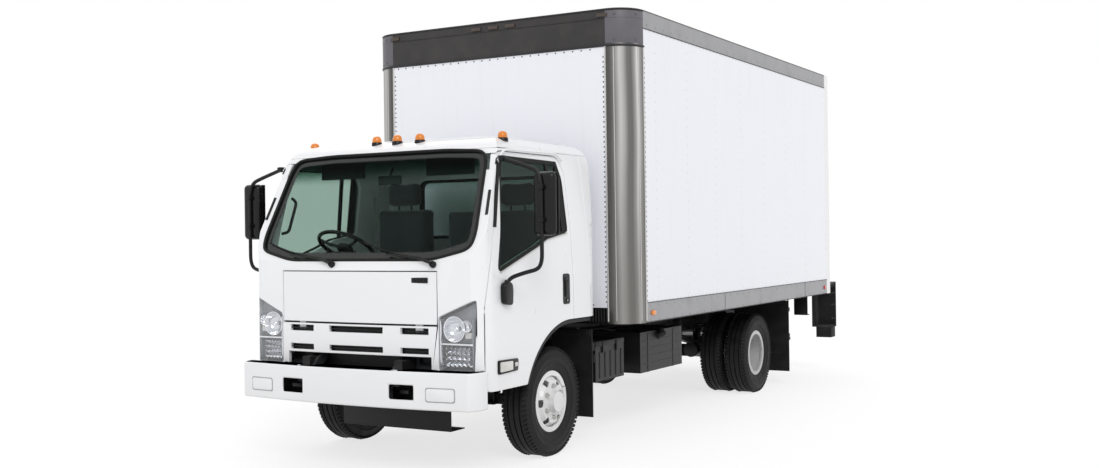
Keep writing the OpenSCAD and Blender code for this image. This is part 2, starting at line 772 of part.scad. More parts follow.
// A door: the cab's own skin, door_t thick, with its window cut
module door(side) color("#f4f4f4") at_axle() sided(side) difference() {
    intersection() {
        cab_solid(0);
        side_plate(cab_x - 200, cab_x + 1) door_outline(0);
    }
    intersection() {
        translate([0, 0, 500]) linear_extrude(cab_top - 400) cab_plan(door_t);
        face_plate(-cab_front_y - 1, cab_back_y + 1) cab_face(door_t);
    }
    side_plate(cab_x - 300, cab_x + 2) door_window(0);
}

module door_glass(side) color("#3c4a46") at_axle() sided(side) intersection() {
    difference() {
        cab_solid(20);
        cab_solid(20 + glass_t);
    }
    side_plate(cab_x - 200, cab_x + 1) door_window(clear);
}

mirror_x = 1267;
mirror_y = -706;
tube_r = 11;
// A mirror: its tube frame on the door, and its head
module mirror_unit(side) color("#141414") at_axle() sided(side) {
    translate([mirror_x, mirror_y, 1400]) cylinder(r = tube_r, h = 500, $fn = 32);
    hull() {
        translate([mirror_x, mirror_y, 1900]) sphere(r = tube_r, $fn = 16);
        translate([1200, mirror_y, 1990]) sphere(r = tube_r, $fn = 16);
    }
    hull() {
        translate([1200, mirror_y, 1990]) sphere(r = tube_r, $fn = 16);
        translate([965, -690, 2075]) sphere(r = tube_r, $fn = 16);
    }
    hull() {
        translate([mirror_x, mirror_y, 1400]) sphere(r = tube_r, $fn = 16);
        translate([1180, mirror_y, 1340]) sphere(r = tube_r, $fn = 16);
    }
    hull() {
        translate([1180, mirror_y, 1340]) sphere(r = tube_r, $fn = 16);
        translate([1015, -740, 1240]) sphere(r = tube_r, $fn = 16);
    }
    block([1000.3, -790, 1110], [1040, -690, 1260]);
    block([mirror_x - 75, mirror_y + tube_r + clear, 1560], [mirror_x + 85, mirror_y + 85, 1975]);
}

// ---------------------------------------------------------------- wheels

rim_w = 156;
// A tyre's section: radius, distance across
module tyre_section(w) {
    bead = rim_w - 8 - 2 * clear;
    difference() {
        union() {
            translate([rim_r + clear, -bead / 2]) square([50, bead]);
            translate([rim_r + 22, -w / 2 + 30]) square([tyre_r - rim_r - 52, w - 60]);
            translate([rim_r + 50, -w / 2 + 12]) square([tyre_r - rim_r - 70, w - 24]);
            translate([rim_r + 80, -w / 2]) square([60, w]);
            translate([tyre_r - 30, -w / 2 + 25]) square([30, w - 50]);
            for (s = [-1, 1]) translate([tyre_r - 25, s * (w / 2 - 30)]) circle(r = 25, $fn = 48);
        }
        translate([rim_r - 1, -bead / 2 + 16]) square([tyre_r - rim_r - 24, bead - 32]);
    }
}

module tyre_at(x) translate([x, 0, tyre_r]) rotate([0, 90, 0]) rotate_extrude($fn = 128) tyre_section(tyre_w);

module front_tyre(side) color("#151515") at_axle() sided(side) tyre_at(front_track_x);

module rear_tyres(side) color("#151515") at_axle() translate([0, wheelbase, 0]) sided(side)
    for (s = [-1, 1]) tyre_at(rear_track_x + s * dual_pitch / 2);

// The rim's barrel: radius, distance across
module barrel_section() difference() {
    union() {
        translate([rim_r - 22, -rim_w / 2]) square([22, rim_w]);
        for (s = [0, 1]) mirror([0, s]) translate([rim_r - 22, rim_w / 2 - 4]) square([36, 8]);
    }
    translate([rim_r - 23, -rim_w / 2 + 20]) square([12, rim_w - 40]);
}

hand_holes = 6;
bolt_pcd = 222;
front_disc_x = 84;
module front_rim(side) color("#dcdcdc") at_axle() sided(side)
    translate([front_track_x, 0, tyre_r]) rotate([0, 90, 0]) difference() {
        union() {
            rotate_extrude($fn = 128) barrel_section();
            rotate_extrude($fn = 128) polygon([
                [rim_r - 20, 34], [rim_r - 6, 34], [150, front_disc_x + 14], [110, front_disc_x + 8],
                [70, front_disc_x + 8], [70, front_disc_x - 4], [150, front_disc_x]
            ]);
            translate([0, 0, -50]) cylinder(r = 72, h = front_disc_x + 110, $fn = 64);
            translate([0, 0, -50]) cylinder(r = 150, h = 60, $fn = 96);
        }
        translate([0, 0, -120]) cylinder(r = spindle_r + fit, h = 120 + hub_x - front_track_x + 25, $fn = 48);
        for (k = [0 : hand_holes - 1]) rotate([0, 0, 60 * k + 30])
            translate([152, 0, 20]) cylinder(r = 27, h = 120, $fn = 48);
    }

module rear_rims(side) color("#c8c8c6") at_axle() translate([0, wheelbase, 0]) sided(side)
    translate([rear_track_x, 0, tyre_r]) rotate([0, 90, 0]) difference() {
        union() {
            for (s = [-1, 1]) translate([0, 0, s * dual_pitch / 2]) rotate_extrude($fn = 128) barrel_section();
            rotate_extrude($fn = 128) polygon([
                [60, -12], [150, -12], [rim_r - 6, -dual_pitch / 2 + 40], [rim_r - 6, -dual_pitch / 2 + 70],
                [155, 0], [rim_r - 6, dual_pitch / 2 - 70], [rim_r - 6, dual_pitch / 2 - 40], [150, 12], [60, 12]
            ]);
            translate([0, 0, -110]) cylinder(r = 80, h = 200, $fn = 64);
            translate([0, 0, -200]) cylinder(r = 160, h = 90, $fn = 96);
        }
        translate([0, 0, -260]) cylinder(r = rear_spindle_r + fit, h = 300, $fn = 48);
        for (k = [0 : hand_holes - 1]) rotate([0, 0, 60 * k + 30])
            translate([152, 0, -60]) cylinder(r = 22, h = 120, $fn = 48);
    }

// ---------------------------------------------------------------- nodes

frame_rails();
crossmembers();
front_axle();
rear_axle();
leaf_springs();
drive_shaft();
engine_block();
fuel_tank();
battery_box();
exhaust();
front_bumper();
mud_flaps();
box_floor();
cross_sills();
long_sills();
box_front_wall();
box_side_walls();
box_roof();
box_corner_posts();
box_front_cap();
box_side_rails();
rear_frame();
roll_door();
liftgate_frame();
lift_arms();
lift_platform();
cab_floor();
cab_back();
cab_roof();
cab_front();
cab_glass();
headlamps();
wheel_flares();
dashboard();
cab_seats();
marker_lamps();
front_lid();
steering_wheel();
door(1);  // door_left
door(-1);  // door_right
door_glass(1);  // door_glass_left
door_glass(-1);  // door_glass_right
mirror_unit(1);  // mirror_left
mirror_unit(-1);  // mirror_right
knuckle(1);  // knuckle_left
knuckle(-1);  // knuckle_right
front_tyre(1);  // front_tyre_left
front_tyre(-1);  // front_tyre_right
front_rim(1);  // front_rim_left
front_rim(-1);  // front_rim_right
rear_tyres(1);  // rear_tyres_left
rear_tyres(-1);  // rear_tyres_right
rear_rims(1);  // rear_rims_left
rear_rims(-1);  // rear_rims_right
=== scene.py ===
"""Looks of a box truck, built around its packed construction model.

Each sub-assembly is a class that shapes its pieces with bmesh operators and dresses
them in procedural finishes. Lengths are metres: +X is the truck's left, +Z is up and
the front faces -Y. Places written as (x, y, z) count y from the front axle.
"""

import json
import logging
import math
from collections.abc import Callable, Iterable, Sequence
from dataclasses import dataclass, field
from enum import Enum

import bmesh
import bpy
from mathutils import Matrix, Vector


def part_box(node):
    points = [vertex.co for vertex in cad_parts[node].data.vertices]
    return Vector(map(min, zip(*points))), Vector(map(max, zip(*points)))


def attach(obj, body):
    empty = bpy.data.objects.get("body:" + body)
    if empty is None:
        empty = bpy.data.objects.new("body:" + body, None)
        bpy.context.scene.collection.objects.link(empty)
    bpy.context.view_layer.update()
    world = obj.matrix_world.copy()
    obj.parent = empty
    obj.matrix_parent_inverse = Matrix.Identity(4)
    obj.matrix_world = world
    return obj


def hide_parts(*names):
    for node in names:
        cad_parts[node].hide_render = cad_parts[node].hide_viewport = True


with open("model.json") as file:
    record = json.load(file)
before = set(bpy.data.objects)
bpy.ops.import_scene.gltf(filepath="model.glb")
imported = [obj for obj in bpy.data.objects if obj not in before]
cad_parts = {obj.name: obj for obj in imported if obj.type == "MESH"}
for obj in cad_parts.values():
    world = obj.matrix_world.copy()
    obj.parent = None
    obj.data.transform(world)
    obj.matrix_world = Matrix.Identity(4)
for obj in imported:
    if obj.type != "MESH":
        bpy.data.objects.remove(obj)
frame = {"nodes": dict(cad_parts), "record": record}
log = logging.getLogger("box_truck")

Point = tuple[float, float, float]
Flat = tuple[float, float]
Colour = tuple[float, float, float]

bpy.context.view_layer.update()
LEFT, RIGHT = 1.0, -1.0
FULL_TURN = 2.0 * math.pi
WHEELBASE = 3.81
WHEEL_RADIUS = 0.385
NUT_CIRCLE = 0.111
CREASE = 35.0
SKIN_SHARP = 38.0
SKIN_MERGE = 2e-5
FLOOR_RADIUS = 150.0
TO_SIDE = Matrix.Rotation(math.pi / 2, 4, "Y")
TO_FRONT = Matrix.Rotation(math.pi / 2, 4, "X")


def middle(node: str) -> Vector:
    """Middle of a construction node's box.

    Args:
        node: Name of the node.

    Returns:
        The middle of its box, in the shared frame.
    """
    low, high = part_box(node)
    return (low + high) / 2


AXLE_Y = middle("front_tyre_left").y


def at(x: float, y: float, z: float) -> Vector:
    """A place given from the front axle.

    Args:
        x: Distance to the truck's left.
        y: Distance behind the front axle.
        z: Height above the ground.

    Returns:
        The same place in the shared frame.
    """
    return Vector((x, y + AXLE_Y, z))


def placed(spot: Sequence[float], turn: Matrix) -> Matrix:
    """The matrix that turns a small fitting and sets it down at a spot."""
    return Matrix.Translation(Vector(spot)) @ turn


class Axis(Enum):
    """The truck's three directions."""

    X = Vector((1.0, 0.0, 0.0))
    Y = Vector((0.0, 1.0, 0.0))
    Z = Vector((0.0, 0.0, 1.0))


# ------------------------------------------------------------------ shader maths


class Sock:
    """A shader value that takes part in ordinary arithmetic."""

    def __init__(self, graph: "Graph", socket: bpy.types.NodeSocket) -> None:
        """Wraps one output socket of a graph."""
        self.graph = graph
        self.socket = socket

    def _math(self, operation: str, *values: "Sock | float") -> "Sock":
        """One Math node on the given values."""
        return self.graph.node("ShaderNodeMath", {"operation": operation}, dict(enumerate(values)))

    def __add__(self, other: "Sock | float") -> "Sock":
        """Sum."""
        return self._math("ADD", self, other)

    __radd__ = __add__

    def __sub__(self, other: "Sock | float") -> "Sock":
        """Difference."""
        return self._math("SUBTRACT", self, other)

    def __rsub__(self, other: "Sock | float") -> "Sock":
        """Difference, taken from a plain number."""
        return self._math("SUBTRACT", other, self)

    def __mul__(self, other: "Sock | float") -> "Sock":
        """Product."""
        return self._math("MULTIPLY", self, other)

    __rmul__ = __mul__

    def __truediv__(self, other: "Sock | float") -> "Sock":
        """Quotient."""
        return self._math("DIVIDE", self, other)

    def __pow__(self, other: "Sock | float") -> "Sock":
        """Power."""
        return self._math("POWER", self, other)

    def __abs__(self) -> "Sock":
        """Size without sign."""
        return self._math("ABSOLUTE", self)

    def low(self, other: "Sock | float") -> "Sock":
        """The smaller of two values."""
        return self._math("MINIMUM", self, other)

    def sine(self) -> "Sock":
        """Sine of the value in radians."""
        return self._math("SINE", self)

    def turn(self, other: "Sock") -> "Sock":
        """Angle of the point (other, self) about the origin."""
        return self._math("ARCTAN2", self, other)

    def step(self, start: float, end: float) -> "Sock":
        """A smooth step.

        Args:
            start: Value where the result is 0.
            end: Value where the result is 1.

        Returns:
            The step, from 0 to 1.
        """
        values = {"Value": self, "From Min": start, "From Max": end}
        if start > end:
            values = {"Value": self, "From Min": end, "From Max": start, "To Min": 1.0, "To Max": 0.0}
        return self.graph.node("ShaderNodeMapRange", {"interpolation_type": "SMOOTHSTEP"}, values)


class Graph:
    """A material's node tree, with its surface shader at hand."""

    def __init__(self, name: str) -> None:
        """Starts an empty material of that name."""
        self.material = bpy.data.materials.new(name)
        self.material.use_nodes = True
        self.tree = self.material.node_tree
        self.tree.nodes.clear()
        self.output = self.tree.nodes.new("ShaderNodeOutputMaterial")

    def make(self, kind: str, settings: dict | None = None, values: dict | None = None) -> bpy.types.Node:
        """Adds a node.

        Args:
            kind: The node's type.
            settings: Properties to set first; "stops" holds a ramp's places and colours.
            values: Numbers, colours or Socks by the input's name or number.

        Returns:
            The new node.
        """
        node = self.tree.nodes.new(kind)
        for key, value in (settings or {}).items():
            if key == "stops":
                self._stops(node.color_ramp, value)
            else:
                setattr(node, key, value)
        for key, value in (values or {}).items():
            if isinstance(value, Sock):
                self.tree.links.new(value.socket, node.inputs[key])
            else:
                node.inputs[key].default_value = value
        return node

    @staticmethod
    def _stops(ramp: bpy.types.ColorRamp, stops: Sequence[tuple[float, Colour]]) -> None:
        """Sets a ramp's stops."""
        while len(ramp.elements) > 1:
            ramp.elements.remove(ramp.elements[-1])
        ramp.elements[0].position = stops[0][0]
        ramp.elements[0].color = (*stops[0][1], 1.0)
        for place, colour in stops[1:]:
            ramp.elements.new(place).color = (*colour, 1.0)

    def node(
        self, kind: str, settings: dict | None = None, values: dict | None = None, out: int | str = 0
    ) -> Sock:
        """Adds a node and gives one of its outputs, by name or number."""
        return Sock(self, self.make(kind, settings, values).outputs[out])

    def place(self, scale: Point = (1.0, 1.0, 1.0), turn: Point = (0.0, 0.0, 0.0)) -> Sock:
        """The point on the object, stretched and turned."""
        point = self.node("ShaderNodeTexCoord", out="Object")
        return self.node("ShaderNodeMapping", None, {"Vector": point, "Scale": scale, "Rotation": turn})

    def xyz(self) -> tuple[Sock, Sock, Sock]:
        """The point on the object as three numbers."""
        point = self.node("ShaderNodeTexCoord", out="Object")
        split = self.make("ShaderNodeSeparateXYZ", None, {0: point})
        return tuple(Sock(self, split.outputs[k]) for k in range(3))

    def facing(self) -> tuple[Sock, Sock, Sock]:
        """The surface's own direction as three numbers."""
        normal = self.node("ShaderNodeNewGeometry", out="Normal")
        split = self.make("ShaderNodeSeparateXYZ", None, {0: normal})
        return tuple(Sock(self, split.outputs[k]) for k in range(3))

    def glance(self) -> Sock:
        """From 0 where the surface is seen square on to 1 at its very edge."""
        return self.node("ShaderNodeLayerWeight", None, {"Blend": 0.5}, out="Facing")

    def cloud(self, scale: float, stretch: Point = (1.0, 1.0, 1.0), detail: float = 3.0) -> Sock:
        """Soft noise from 0 to 1."""
        values = {"Vector": self.place(stretch), "Scale": scale, "Detail": detail}
        return self.node("ShaderNodeTexNoise", None, values)

    def blend(self, share: Sock | float, first: Sock | Colour, second: Sock | Colour) -> Sock:
        """Mixes two colours by a share from 0 to 1."""
        pair = [c if isinstance(c, Sock) else (*c, 1.0) for c in (first, second)]
        values = {0: share, 6: pair[0], 7: pair[1]}
        return self.node("ShaderNodeMix", {"data_type": "RGBA"}, values, out=2)

    def bump(self, height: Sock, depth: float, strength: float = 1.0) -> Sock:
        """A bumped normal from a height.

        Args:
            height: The height, from 0 to 1.
            depth: What a height of 1 stands for.
            strength: Share of the effect.

        Returns:
            The normal.
        """
        values = {"Height": height, "Distance": depth, "Strength": strength}
        return self.node("ShaderNodeBump", None, values)

    def surface(self, values: dict) -> bpy.types.Node:
        """Adds the main shader with these inputs and joins it to the output."""
        shader = self.make("ShaderNodeBsdfPrincipled", None, values)
        self.tree.links.new(shader.outputs[0], self.output.inputs["Surface"])
        return shader

    def finish(self, shader: Sock) -> None:
        """Joins any shader to the output."""
        self.tree.links.new(shader.socket, self.output.inputs["Surface"])


# ------------------------------------------------------------------ finishes


MADE: dict[str, bpy.types.Material] = {}


@dataclass(frozen=True)
class Finish:
    """A surface finish; its material is made once."""

    name: str
    colour: Colour

    def material(self) -> bpy.types.Material:
        """The finish's material."""
        if self.name not in MADE:
            graph = Graph(self.name + "_finish")
            self.wire(graph)
            MADE[self.name] = graph.material
        return MADE[self.name]

    def wire(self, graph: Graph) -> None:
        """Builds the material's nodes in a graph."""
        raise NotImplementedError

    def tone(self, factor: float) -> Colour:
        """The finish's colour, lighter or darker."""
        return tuple(min(1.0, part * factor) for part in self.colour)


ROAD_DUST: Colour = (0.36, 0.33, 0.29)


@dataclass(frozen=True)
class GlossPaint(Finish):
    """Sprayed vehicle paint with clear gloss, and road film low down."""

    film_top: float = 0.95
    film: float = 0.22

    def wire(self, graph: Graph) -> None:
        """Paint that varies a little, with grime below film_top."""
        _, _, height = graph.xyz()
        patches = graph.cloud(2.2)
        grime = height.step(self.film_top, 0.35) * graph.cloud(7.0, (1, 1, 0.35), 6.0) * self.film
        paint = graph.blend(patches, self.tone(0.985), self.tone(1.005))
        colour = graph.blend(grime, paint, ROAD_DUST)
        peel = graph.cloud(420.0, detail=1.0)
        values = {
            "Base Color": colour,
            "Roughness": 0.26 + graph.cloud(11.0) * 0.05 + grime * 0.9,
            "Coat Weight": 0.4 - grime * 0.8,
            "Coat Roughness": 0.06,
            "Normal": graph.bump(peel, 0.0001, 0.06),
        }
        graph.surface(values)


@dataclass(frozen=True)
class SheetPanel(Finish):
    """Pre-painted sheet, slightly wavy between its rivets, with rain streaks."""

    streak: float = 0.10
    pitch: float = 0.61

    def wire(self, graph: Graph) -> None:
        """Sheet with soft panel waves and faint vertical streaks."""
        _, along, height = graph.xyz()
        wave = ((along * (FULL_TURN / self.pitch)).sine() * 0.5 + 0.5) * 0.35 + graph.cloud(1.6) * 0.65
        streaks = graph.cloud(3.0, (9, 9, 0.5), 5.0).step(0.52, 0.75) * self.streak
        low = height.step(1.5, 0.95) * graph.cloud(14.0, detail=5.0) * 0.12
        colour = graph.blend(graph.cloud(0.9), self.tone(0.985), self.tone(1.0))
        colour = graph.blend(streaks + low, colour, (0.62, 0.61, 0.6))
        values = {
            "Base Color": colour,
            "Roughness": 0.34 + graph.cloud(5.0) * 0.12,
            "Coat Weight": 0.2,
            "Coat Roughness": 0.2,
            "Normal": graph.bump(wave, 0.004, 0.5),
        }
        graph.surface(values)


@dataclass(frozen=True)
class Brushed(Finish):
    """Bare metal with a drawn grain, stains and small scratches."""

    grain: Point = (60.0, 60.0, 1.0)
    roughness: float = 0.32
    metallic: float = 0.9
    stain: float = 0.25

    def wire(self, graph: Graph) -> None:
        """Grain drawn along the axis with the smallest stretch."""
        lines = graph.cloud(9.0, self.grain, 4.0)
        blotch = graph.cloud(4.0, detail=5.0).step(0.45, 0.8) * self.stain
        colour = graph.blend(lines, self.tone(0.84), self.tone(1.12))
        colour = graph.blend(blotch, colour, self.tone(0.55))
        values = {
            "Base Color": colour,
            "Metallic": self.metallic - blotch * 0.4,
            "Roughness": self.roughness + lines * 0.1 + blotch * 0.4,
            "Normal": graph.bump(lines, 0.0004, 0.35),
        }
        graph.surface(values)


@dataclass(frozen=True)
class PolishedPost(Finish):
    """Polished stainless corner post, with painted reflection in soft upright stripes, darker towards the
    bottom.
    """

    def wire(self, graph: Graph) -> None:
        """Painted reflection stripes set by the angle round each post, broken up along its height."""
        across, along, height = graph.xyz()
        low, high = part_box("box_corner_posts")
        radius = high.x - abs(low.x) + 0.215
        centre = Vector((high.x - radius, high.y, 0.0))
        angle = (centre.y - along).turn(abs(across) - centre.x) / (math.pi / 2)
        wander = (graph.cloud(0.8, (1, 1, 1.2), 2.0) - 0.5) * 0.16
        # Painted reflection: dark and light tones round each post, with painted highlights about a quarter
        # and two thirds of the way round.
        reflection_greys = [
            (0.0, 0.14), (0.09, 0.26), (0.17, 0.44), (0.24, 0.80), (0.30, 0.40), (0.40, 0.13),
            (0.50, 0.15), (0.60, 0.42), (0.68, 0.56), (0.80, 0.22), (0.90, 0.07), (1.0, 0.045),
        ]
        stops = [(spot, (g * 0.98, g * 0.97, g * 0.95)) for spot, g in reflection_greys]
        painted_reflection_bands = graph.node("ShaderNodeValToRGB", {"stops": stops}, {0: angle + wander})
        # Darker towards the bottom of the post and in soft patches.
        haze = height.step(2.5, 1.0) * 0.55 + graph.cloud(2.0, (2, 2, 0.6), 4.0) * 0.25
        brush = graph.cloud(8.0, (50, 50, 0.6), 3.0)
        colour = graph.blend(haze.low(0.7), painted_reflection_bands, (0.135, 0.130, 0.118))
        colour = graph.blend(brush * 0.16, colour, (0.42, 0.41, 0.4))
        values = {
            "Base Color": colour,
            "Metallic": 0.82,
            "Roughness": 0.24 + brush * 0.14,
            "Normal": graph.bump(brush, 0.0004, 0.3),
        }
        graph.surface(values)


@dataclass(frozen=True)
class Plastic(Finish):
    """Moulded plastic with a fine grain and scuffs."""

    roughness: float = 0.5
    grain: float = 900.0
    scuff: float = 0.12

    def wire(self, graph: Graph) -> None:
        """Leathery grain with pale scuffs."""
        cells = {"Vector": graph.place(), "Scale": self.grain}
        pits = graph.node("ShaderNodeTexVoronoi", None, cells)
        scuffs = graph.cloud(18.0, (1, 1, 2), 8.0).step(0.58, 0.8) * self.scuff
        colour = graph.blend(graph.cloud(6.0), self.tone(0.85), self.tone(1.2))
        colour = graph.blend(scuffs * 0.5, colour, (0.12, 0.12, 0.12))
        values = {
            "Base Color": colour,
            "Roughness": self.roughness + scuffs * 0.8 + graph.cloud(30.0) * 0.08,
            "Specular IOR Level": 0.28,
            "Normal": graph.bump(pits, 0.0003, 0.4),
        }
        graph.surface(values)


@dataclass(frozen=True)
class DustyPaint(Finish):
    """Satin chassis paint under road dust, with rust at scattered spots."""

    dust: float = 0.3
    rust: float = 0.35
    roughness: float = 0.5

    def wire(self, graph: Graph) -> None:
        """Dust lies on faces that look up; rust comes in small spots."""
        _, _, up = graph.facing()
        settled = up.step(0.2, 0.95) * 0.6 + 0.25
        dust = settled * graph.cloud(9.0, detail=7.0).step(0.35, 0.75) * self.dust
        rust = graph.cloud(26.0, detail=8.0).step(0.66, 0.74) * self.rust
        colour = graph.blend(graph.cloud(3.0), self.tone(0.8), self.tone(1.3))
        colour = graph.blend(dust, colour, (0.2, 0.18, 0.155))
        colour = graph.blend(rust, colour, (0.16, 0.06, 0.025))
        values = {
            "Base Color": colour,
            "Roughness": self.roughness + dust * 0.8 + rust * 0.3,
            "Specular IOR Level": 0.3,
            "Normal": graph.bump(graph.cloud(160.0, detail=4.0), 0.0006, 0.4),
        }
        graph.surface(values)


@dataclass(frozen=True)
class Rubber(Finish):
    """Rubber with a dry bloom and fine scuffing."""

    bloom: float = 0.25

    def wire(self, graph: Graph) -> None:
        """Dark rubber, greyer where it is dry."""
        dry = graph.cloud(12.0, detail=8.0).step(0.35, 0.8) * self.bloom
        colour = graph.blend(dry, self.colour, (0.06, 0.057, 0.054))
        values = {
            "Base Color": colour,
            "Roughness": 0.58 + dry,
            "Specular IOR Level": 0.25,
            "Normal": graph.bump(graph.cloud(240.0, detail=3.0), 0.0005, 0.5),
        }
        graph.surface(values)


@dataclass(frozen=True)
class Cloth(Finish):
    """Woven seat cloth with its two thread directions and a soft sheen."""

    thread: float = 0.0022

    def wire(self, graph: Graph) -> None:
        """A plain weave, with worn patches."""
        across, along, height = graph.xyz()
        rate = FULL_TURN / self.thread
        weave = (across * rate).sine() * ((along + height) * rate).sine() * 0.5 + 0.5
        worn = graph.cloud(8.0, detail=5.0)
        colour = graph.blend(weave, self.tone(0.7), self.tone(1.25))
        colour = graph.blend(worn.step(0.55, 0.85) * 0.3, colour, self.tone(1.7))
        values = {
            "Base Color": colour,
            "Roughness": 0.88 + worn * 0.08,
            "Sheen Weight": 0.25,
            "Sheen Roughness": 0.5,
            "Normal": graph.bump(weave + graph.cloud(60.0) * 0.6, 0.0006, 0.6),
        }
        graph.surface(values)


@dataclass(frozen=True)
class Lens(Finish):
    """Clear or tinted lamp plastic with moulded ribs."""

    clear: float = 0.6
    ribs: float = 70.0

    def wire(self, graph: Graph) -> None:
        """Part see-through, part gloss, with a ribbed face."""
        across, along, height = graph.xyz()
        rib = ((across + along) * (self.ribs * FULL_TURN)).sine() * 0.5 + 0.5
        speck = graph.cloud(40.0, detail=5.0)
        normal = graph.bump(rib * 0.7 + speck * 0.3, 0.0006, 0.35)
        values = {
            "Base Color": graph.blend(speck, self.tone(0.9), self.tone(1.1)),
            "Roughness": 0.08 + speck * 0.06,
            "Coat Weight": 0.5,
            "Normal": normal,
        }
        body = Sock(graph, graph.make("ShaderNodeBsdfPrincipled", None, values).outputs[0])
        hole = graph.node("ShaderNodeBsdfTransparent", None, {"Color": (*self.tone(1.05), 1.0)})
        share = (1.0 - self.clear + graph.glance() ** 3.0 * 0.7).low(1.0)
        graph.finish(graph.node("ShaderNodeMixShader", None, {0: share, 1: hole, 2: body}))


@dataclass(frozen=True)
class Chrome(Finish):
    """Bright vacuum metal inside a lamp, or a mirror's face."""

    roughness: float = 0.08

    def wire(self, graph: Graph) -> None:
        """Bright metal with a little haze."""
        haze = graph.cloud(25.0, detail=4.0)
        values = {
            "Base Color": graph.blend(haze, self.tone(0.9), self.tone(1.05)),
            "Metallic": 1.0,
            "Roughness": self.roughness + haze * 0.06,
            "Normal": graph.bump(haze, 0.0002, 0.2),
        }
        graph.surface(values)


@dataclass(frozen=True)
class Pane(Finish):
    """Tinted window glass; a subclass may print a border and a shade band on it."""

    through: Colour = (0.80, 0.90, 0.85)
    haze: float = 0.02

    def border(self, graph: Graph) -> Sock | None:
        """Share of black print over the glass, or None for none."""
        return None

    def band(self, graph: Graph) -> Sock | None:
        """Share of the dark shade band, or None for none."""
        return None

    def wire(self, graph: Graph) -> None:
        """Glass that reflects more at a glance, with film, print and band."""
        film = graph.cloud(6.0, (1, 1, 0.6), 5.0)
        normal = graph.bump(graph.cloud(2.5), 0.001, 0.1)
        gloss_values = {
            "Base Color": (*self.colour, 1.0),
            "Roughness": 0.02 + film * 0.04,
            "Coat Weight": 0.3,
            "Normal": normal,
        }
        gloss = Sock(graph, graph.make("ShaderNodeBsdfPrincipled", None, gloss_values).outputs[0])
        clear = graph.node("ShaderNodeBsdfTransparent", None, {"Color": (*self.through, 1.0)})
        band = self.band(graph)
        if band is not None:
            deep = graph.node("ShaderNodeBsdfTransparent", None, {"Color": (0.10, 0.26, 0.20, 1.0)})
            clear = graph.node("ShaderNodeMixShader", None, {0: band, 1: clear, 2: deep})
        share = (0.035 + graph.glance() ** 4.0 * 0.75 + film * self.haze).low(1.0)
        pane = graph.node("ShaderNodeMixShader", None, {0: share, 1: clear, 2: gloss})
        border = self.border(graph)
        if border is not None:
            print_values = {"Base Color": graph.blend(film, (0.008, 0.009, 0.009), (0.014, 0.015, 0.015)),
                            "Roughness": 0.12 + film * 0.1}
            printed = graph.make("ShaderNodeBsdfPrincipled", None, print_values).outputs[0]
            pane = graph.node("ShaderNodeMixShader", None, {0: border, 1: pane, 2: Sock(graph, printed)})
        graph.finish(pane)


@dataclass(frozen=True)
class Windscreen(Pane):
    """Windscreen glass: black border along its outline and a shade band on top."""

    edges: tuple[tuple[Flat, Flat], ...] = ()
    width: float = 0.045

    def border(self, graph: Graph) -> Sock:
        """Black where the nearest outline edge is closer than width."""
        across, _, height = graph.xyz()
        side = abs(across)
        nearest: Sock | None = None
        for (x0, z0), (x1, z1) in self.edges:
            run = math.hypot(x1 - x0, z1 - z0)
            normal = ((z0 - z1) / run, (x1 - x0) / run)
            reach = side * normal[0] + height * normal[1] - (x0 * normal[0] + z0 * normal[1])
            nearest = reach if nearest is None else nearest.low(reach)
        return nearest.step(self.width + 0.012, self.width - 0.004)

    def band(self, graph: Graph) -> Sock:
        """Dark along the top edge."""
        _, _, height = graph.xyz()
        return height.step(1.93, 2.09)


# ------------------------------------------------------------------ shaping


def _ease(before: Vector, corner: Vector, after: Vector, radius: float, steps: int) -> list[Vector]:
    """Points of the curve that replaces one corner."""
    start = corner + (before - corner).normalized() * min(radius, (before - corner).length * 0.45)
    end = corner + (after - corner).normalized() * min(radius, (after - corner).length * 0.45)
    shares = [k / steps for k in range(steps + 1)]
    return [start * (1 - t) ** 2 + corner * (2 * t * (1 - t)) + end * t * t for t in shares]


def eased(points: Sequence[Flat], radius: float, steps: int = 4) -> list[Flat]:
    """A closed outline whose corners are eased.

    Args:
        points: Its corners in order.
        radius: Where each curve starts and ends, from its corner.
        steps: Steps in each curve.

    Returns:
        The new outline.
    """
    if radius <= 0:
        return [tuple(p) for p in points]
    flat = [Vector(p) for p in points]
    made: list[Flat] = []
    for k, corner in enumerate(flat):
        curve = _ease(flat[k - 1], corner, flat[(k + 1) % len(flat)], radius, steps)
        made.extend((p.x, p.y) for p in curve)
    return made


def oblong(x0: float, x1: float, z0: float, z1: float) -> list[Flat]:
    """A rectangle's corners, in order."""
    return [(x0, z0), (x1, z0), (x1, z1), (x0, z1)]


def eased3(points: Sequence[Point], radius: float, steps: int = 5) -> list[Vector]:
    """An open path in space whose inner corners are eased."""
    spots = [Vector(p) for p in points]
    made = [spots[0]]
    for before, corner, after in zip(spots, spots[1:], spots[2:]):
        made.extend(_ease(before, corner, after, radius, steps))
    return [*made, spots[-1]]


def sharp_edges(bm: bmesh.types.BMesh, least: float) -> list[bmesh.types.BMEdge]:
    """Edges between two faces that meet at more than least degrees."""
    limit = math.radians(least)
    return [e for e in bm.edges if len(e.link_faces) == 2 and e.calc_face_angle(0.0) > limit]


def round_edges(
    bm: bmesh.types.BMesh, edges: Sequence[bmesh.types.BMEdge], radius: float, segments: int,
    clamp: bool = True,
) -> None:
    """Rounds edges of a mesh.

    Args:
        bm: The mesh.
        edges: The edges to round.
        radius: How far each round reaches from its edge.
        segments: Steps in each round.
        clamp: True if rounds that would meet are made smaller.
    """
    bmesh.ops.bevel(
        bm, geom=edges, offset=radius, offset_type="OFFSET", affect="EDGES", segments=segments,
        profile=0.5, material=-1, clamp_overlap=clamp,
    )


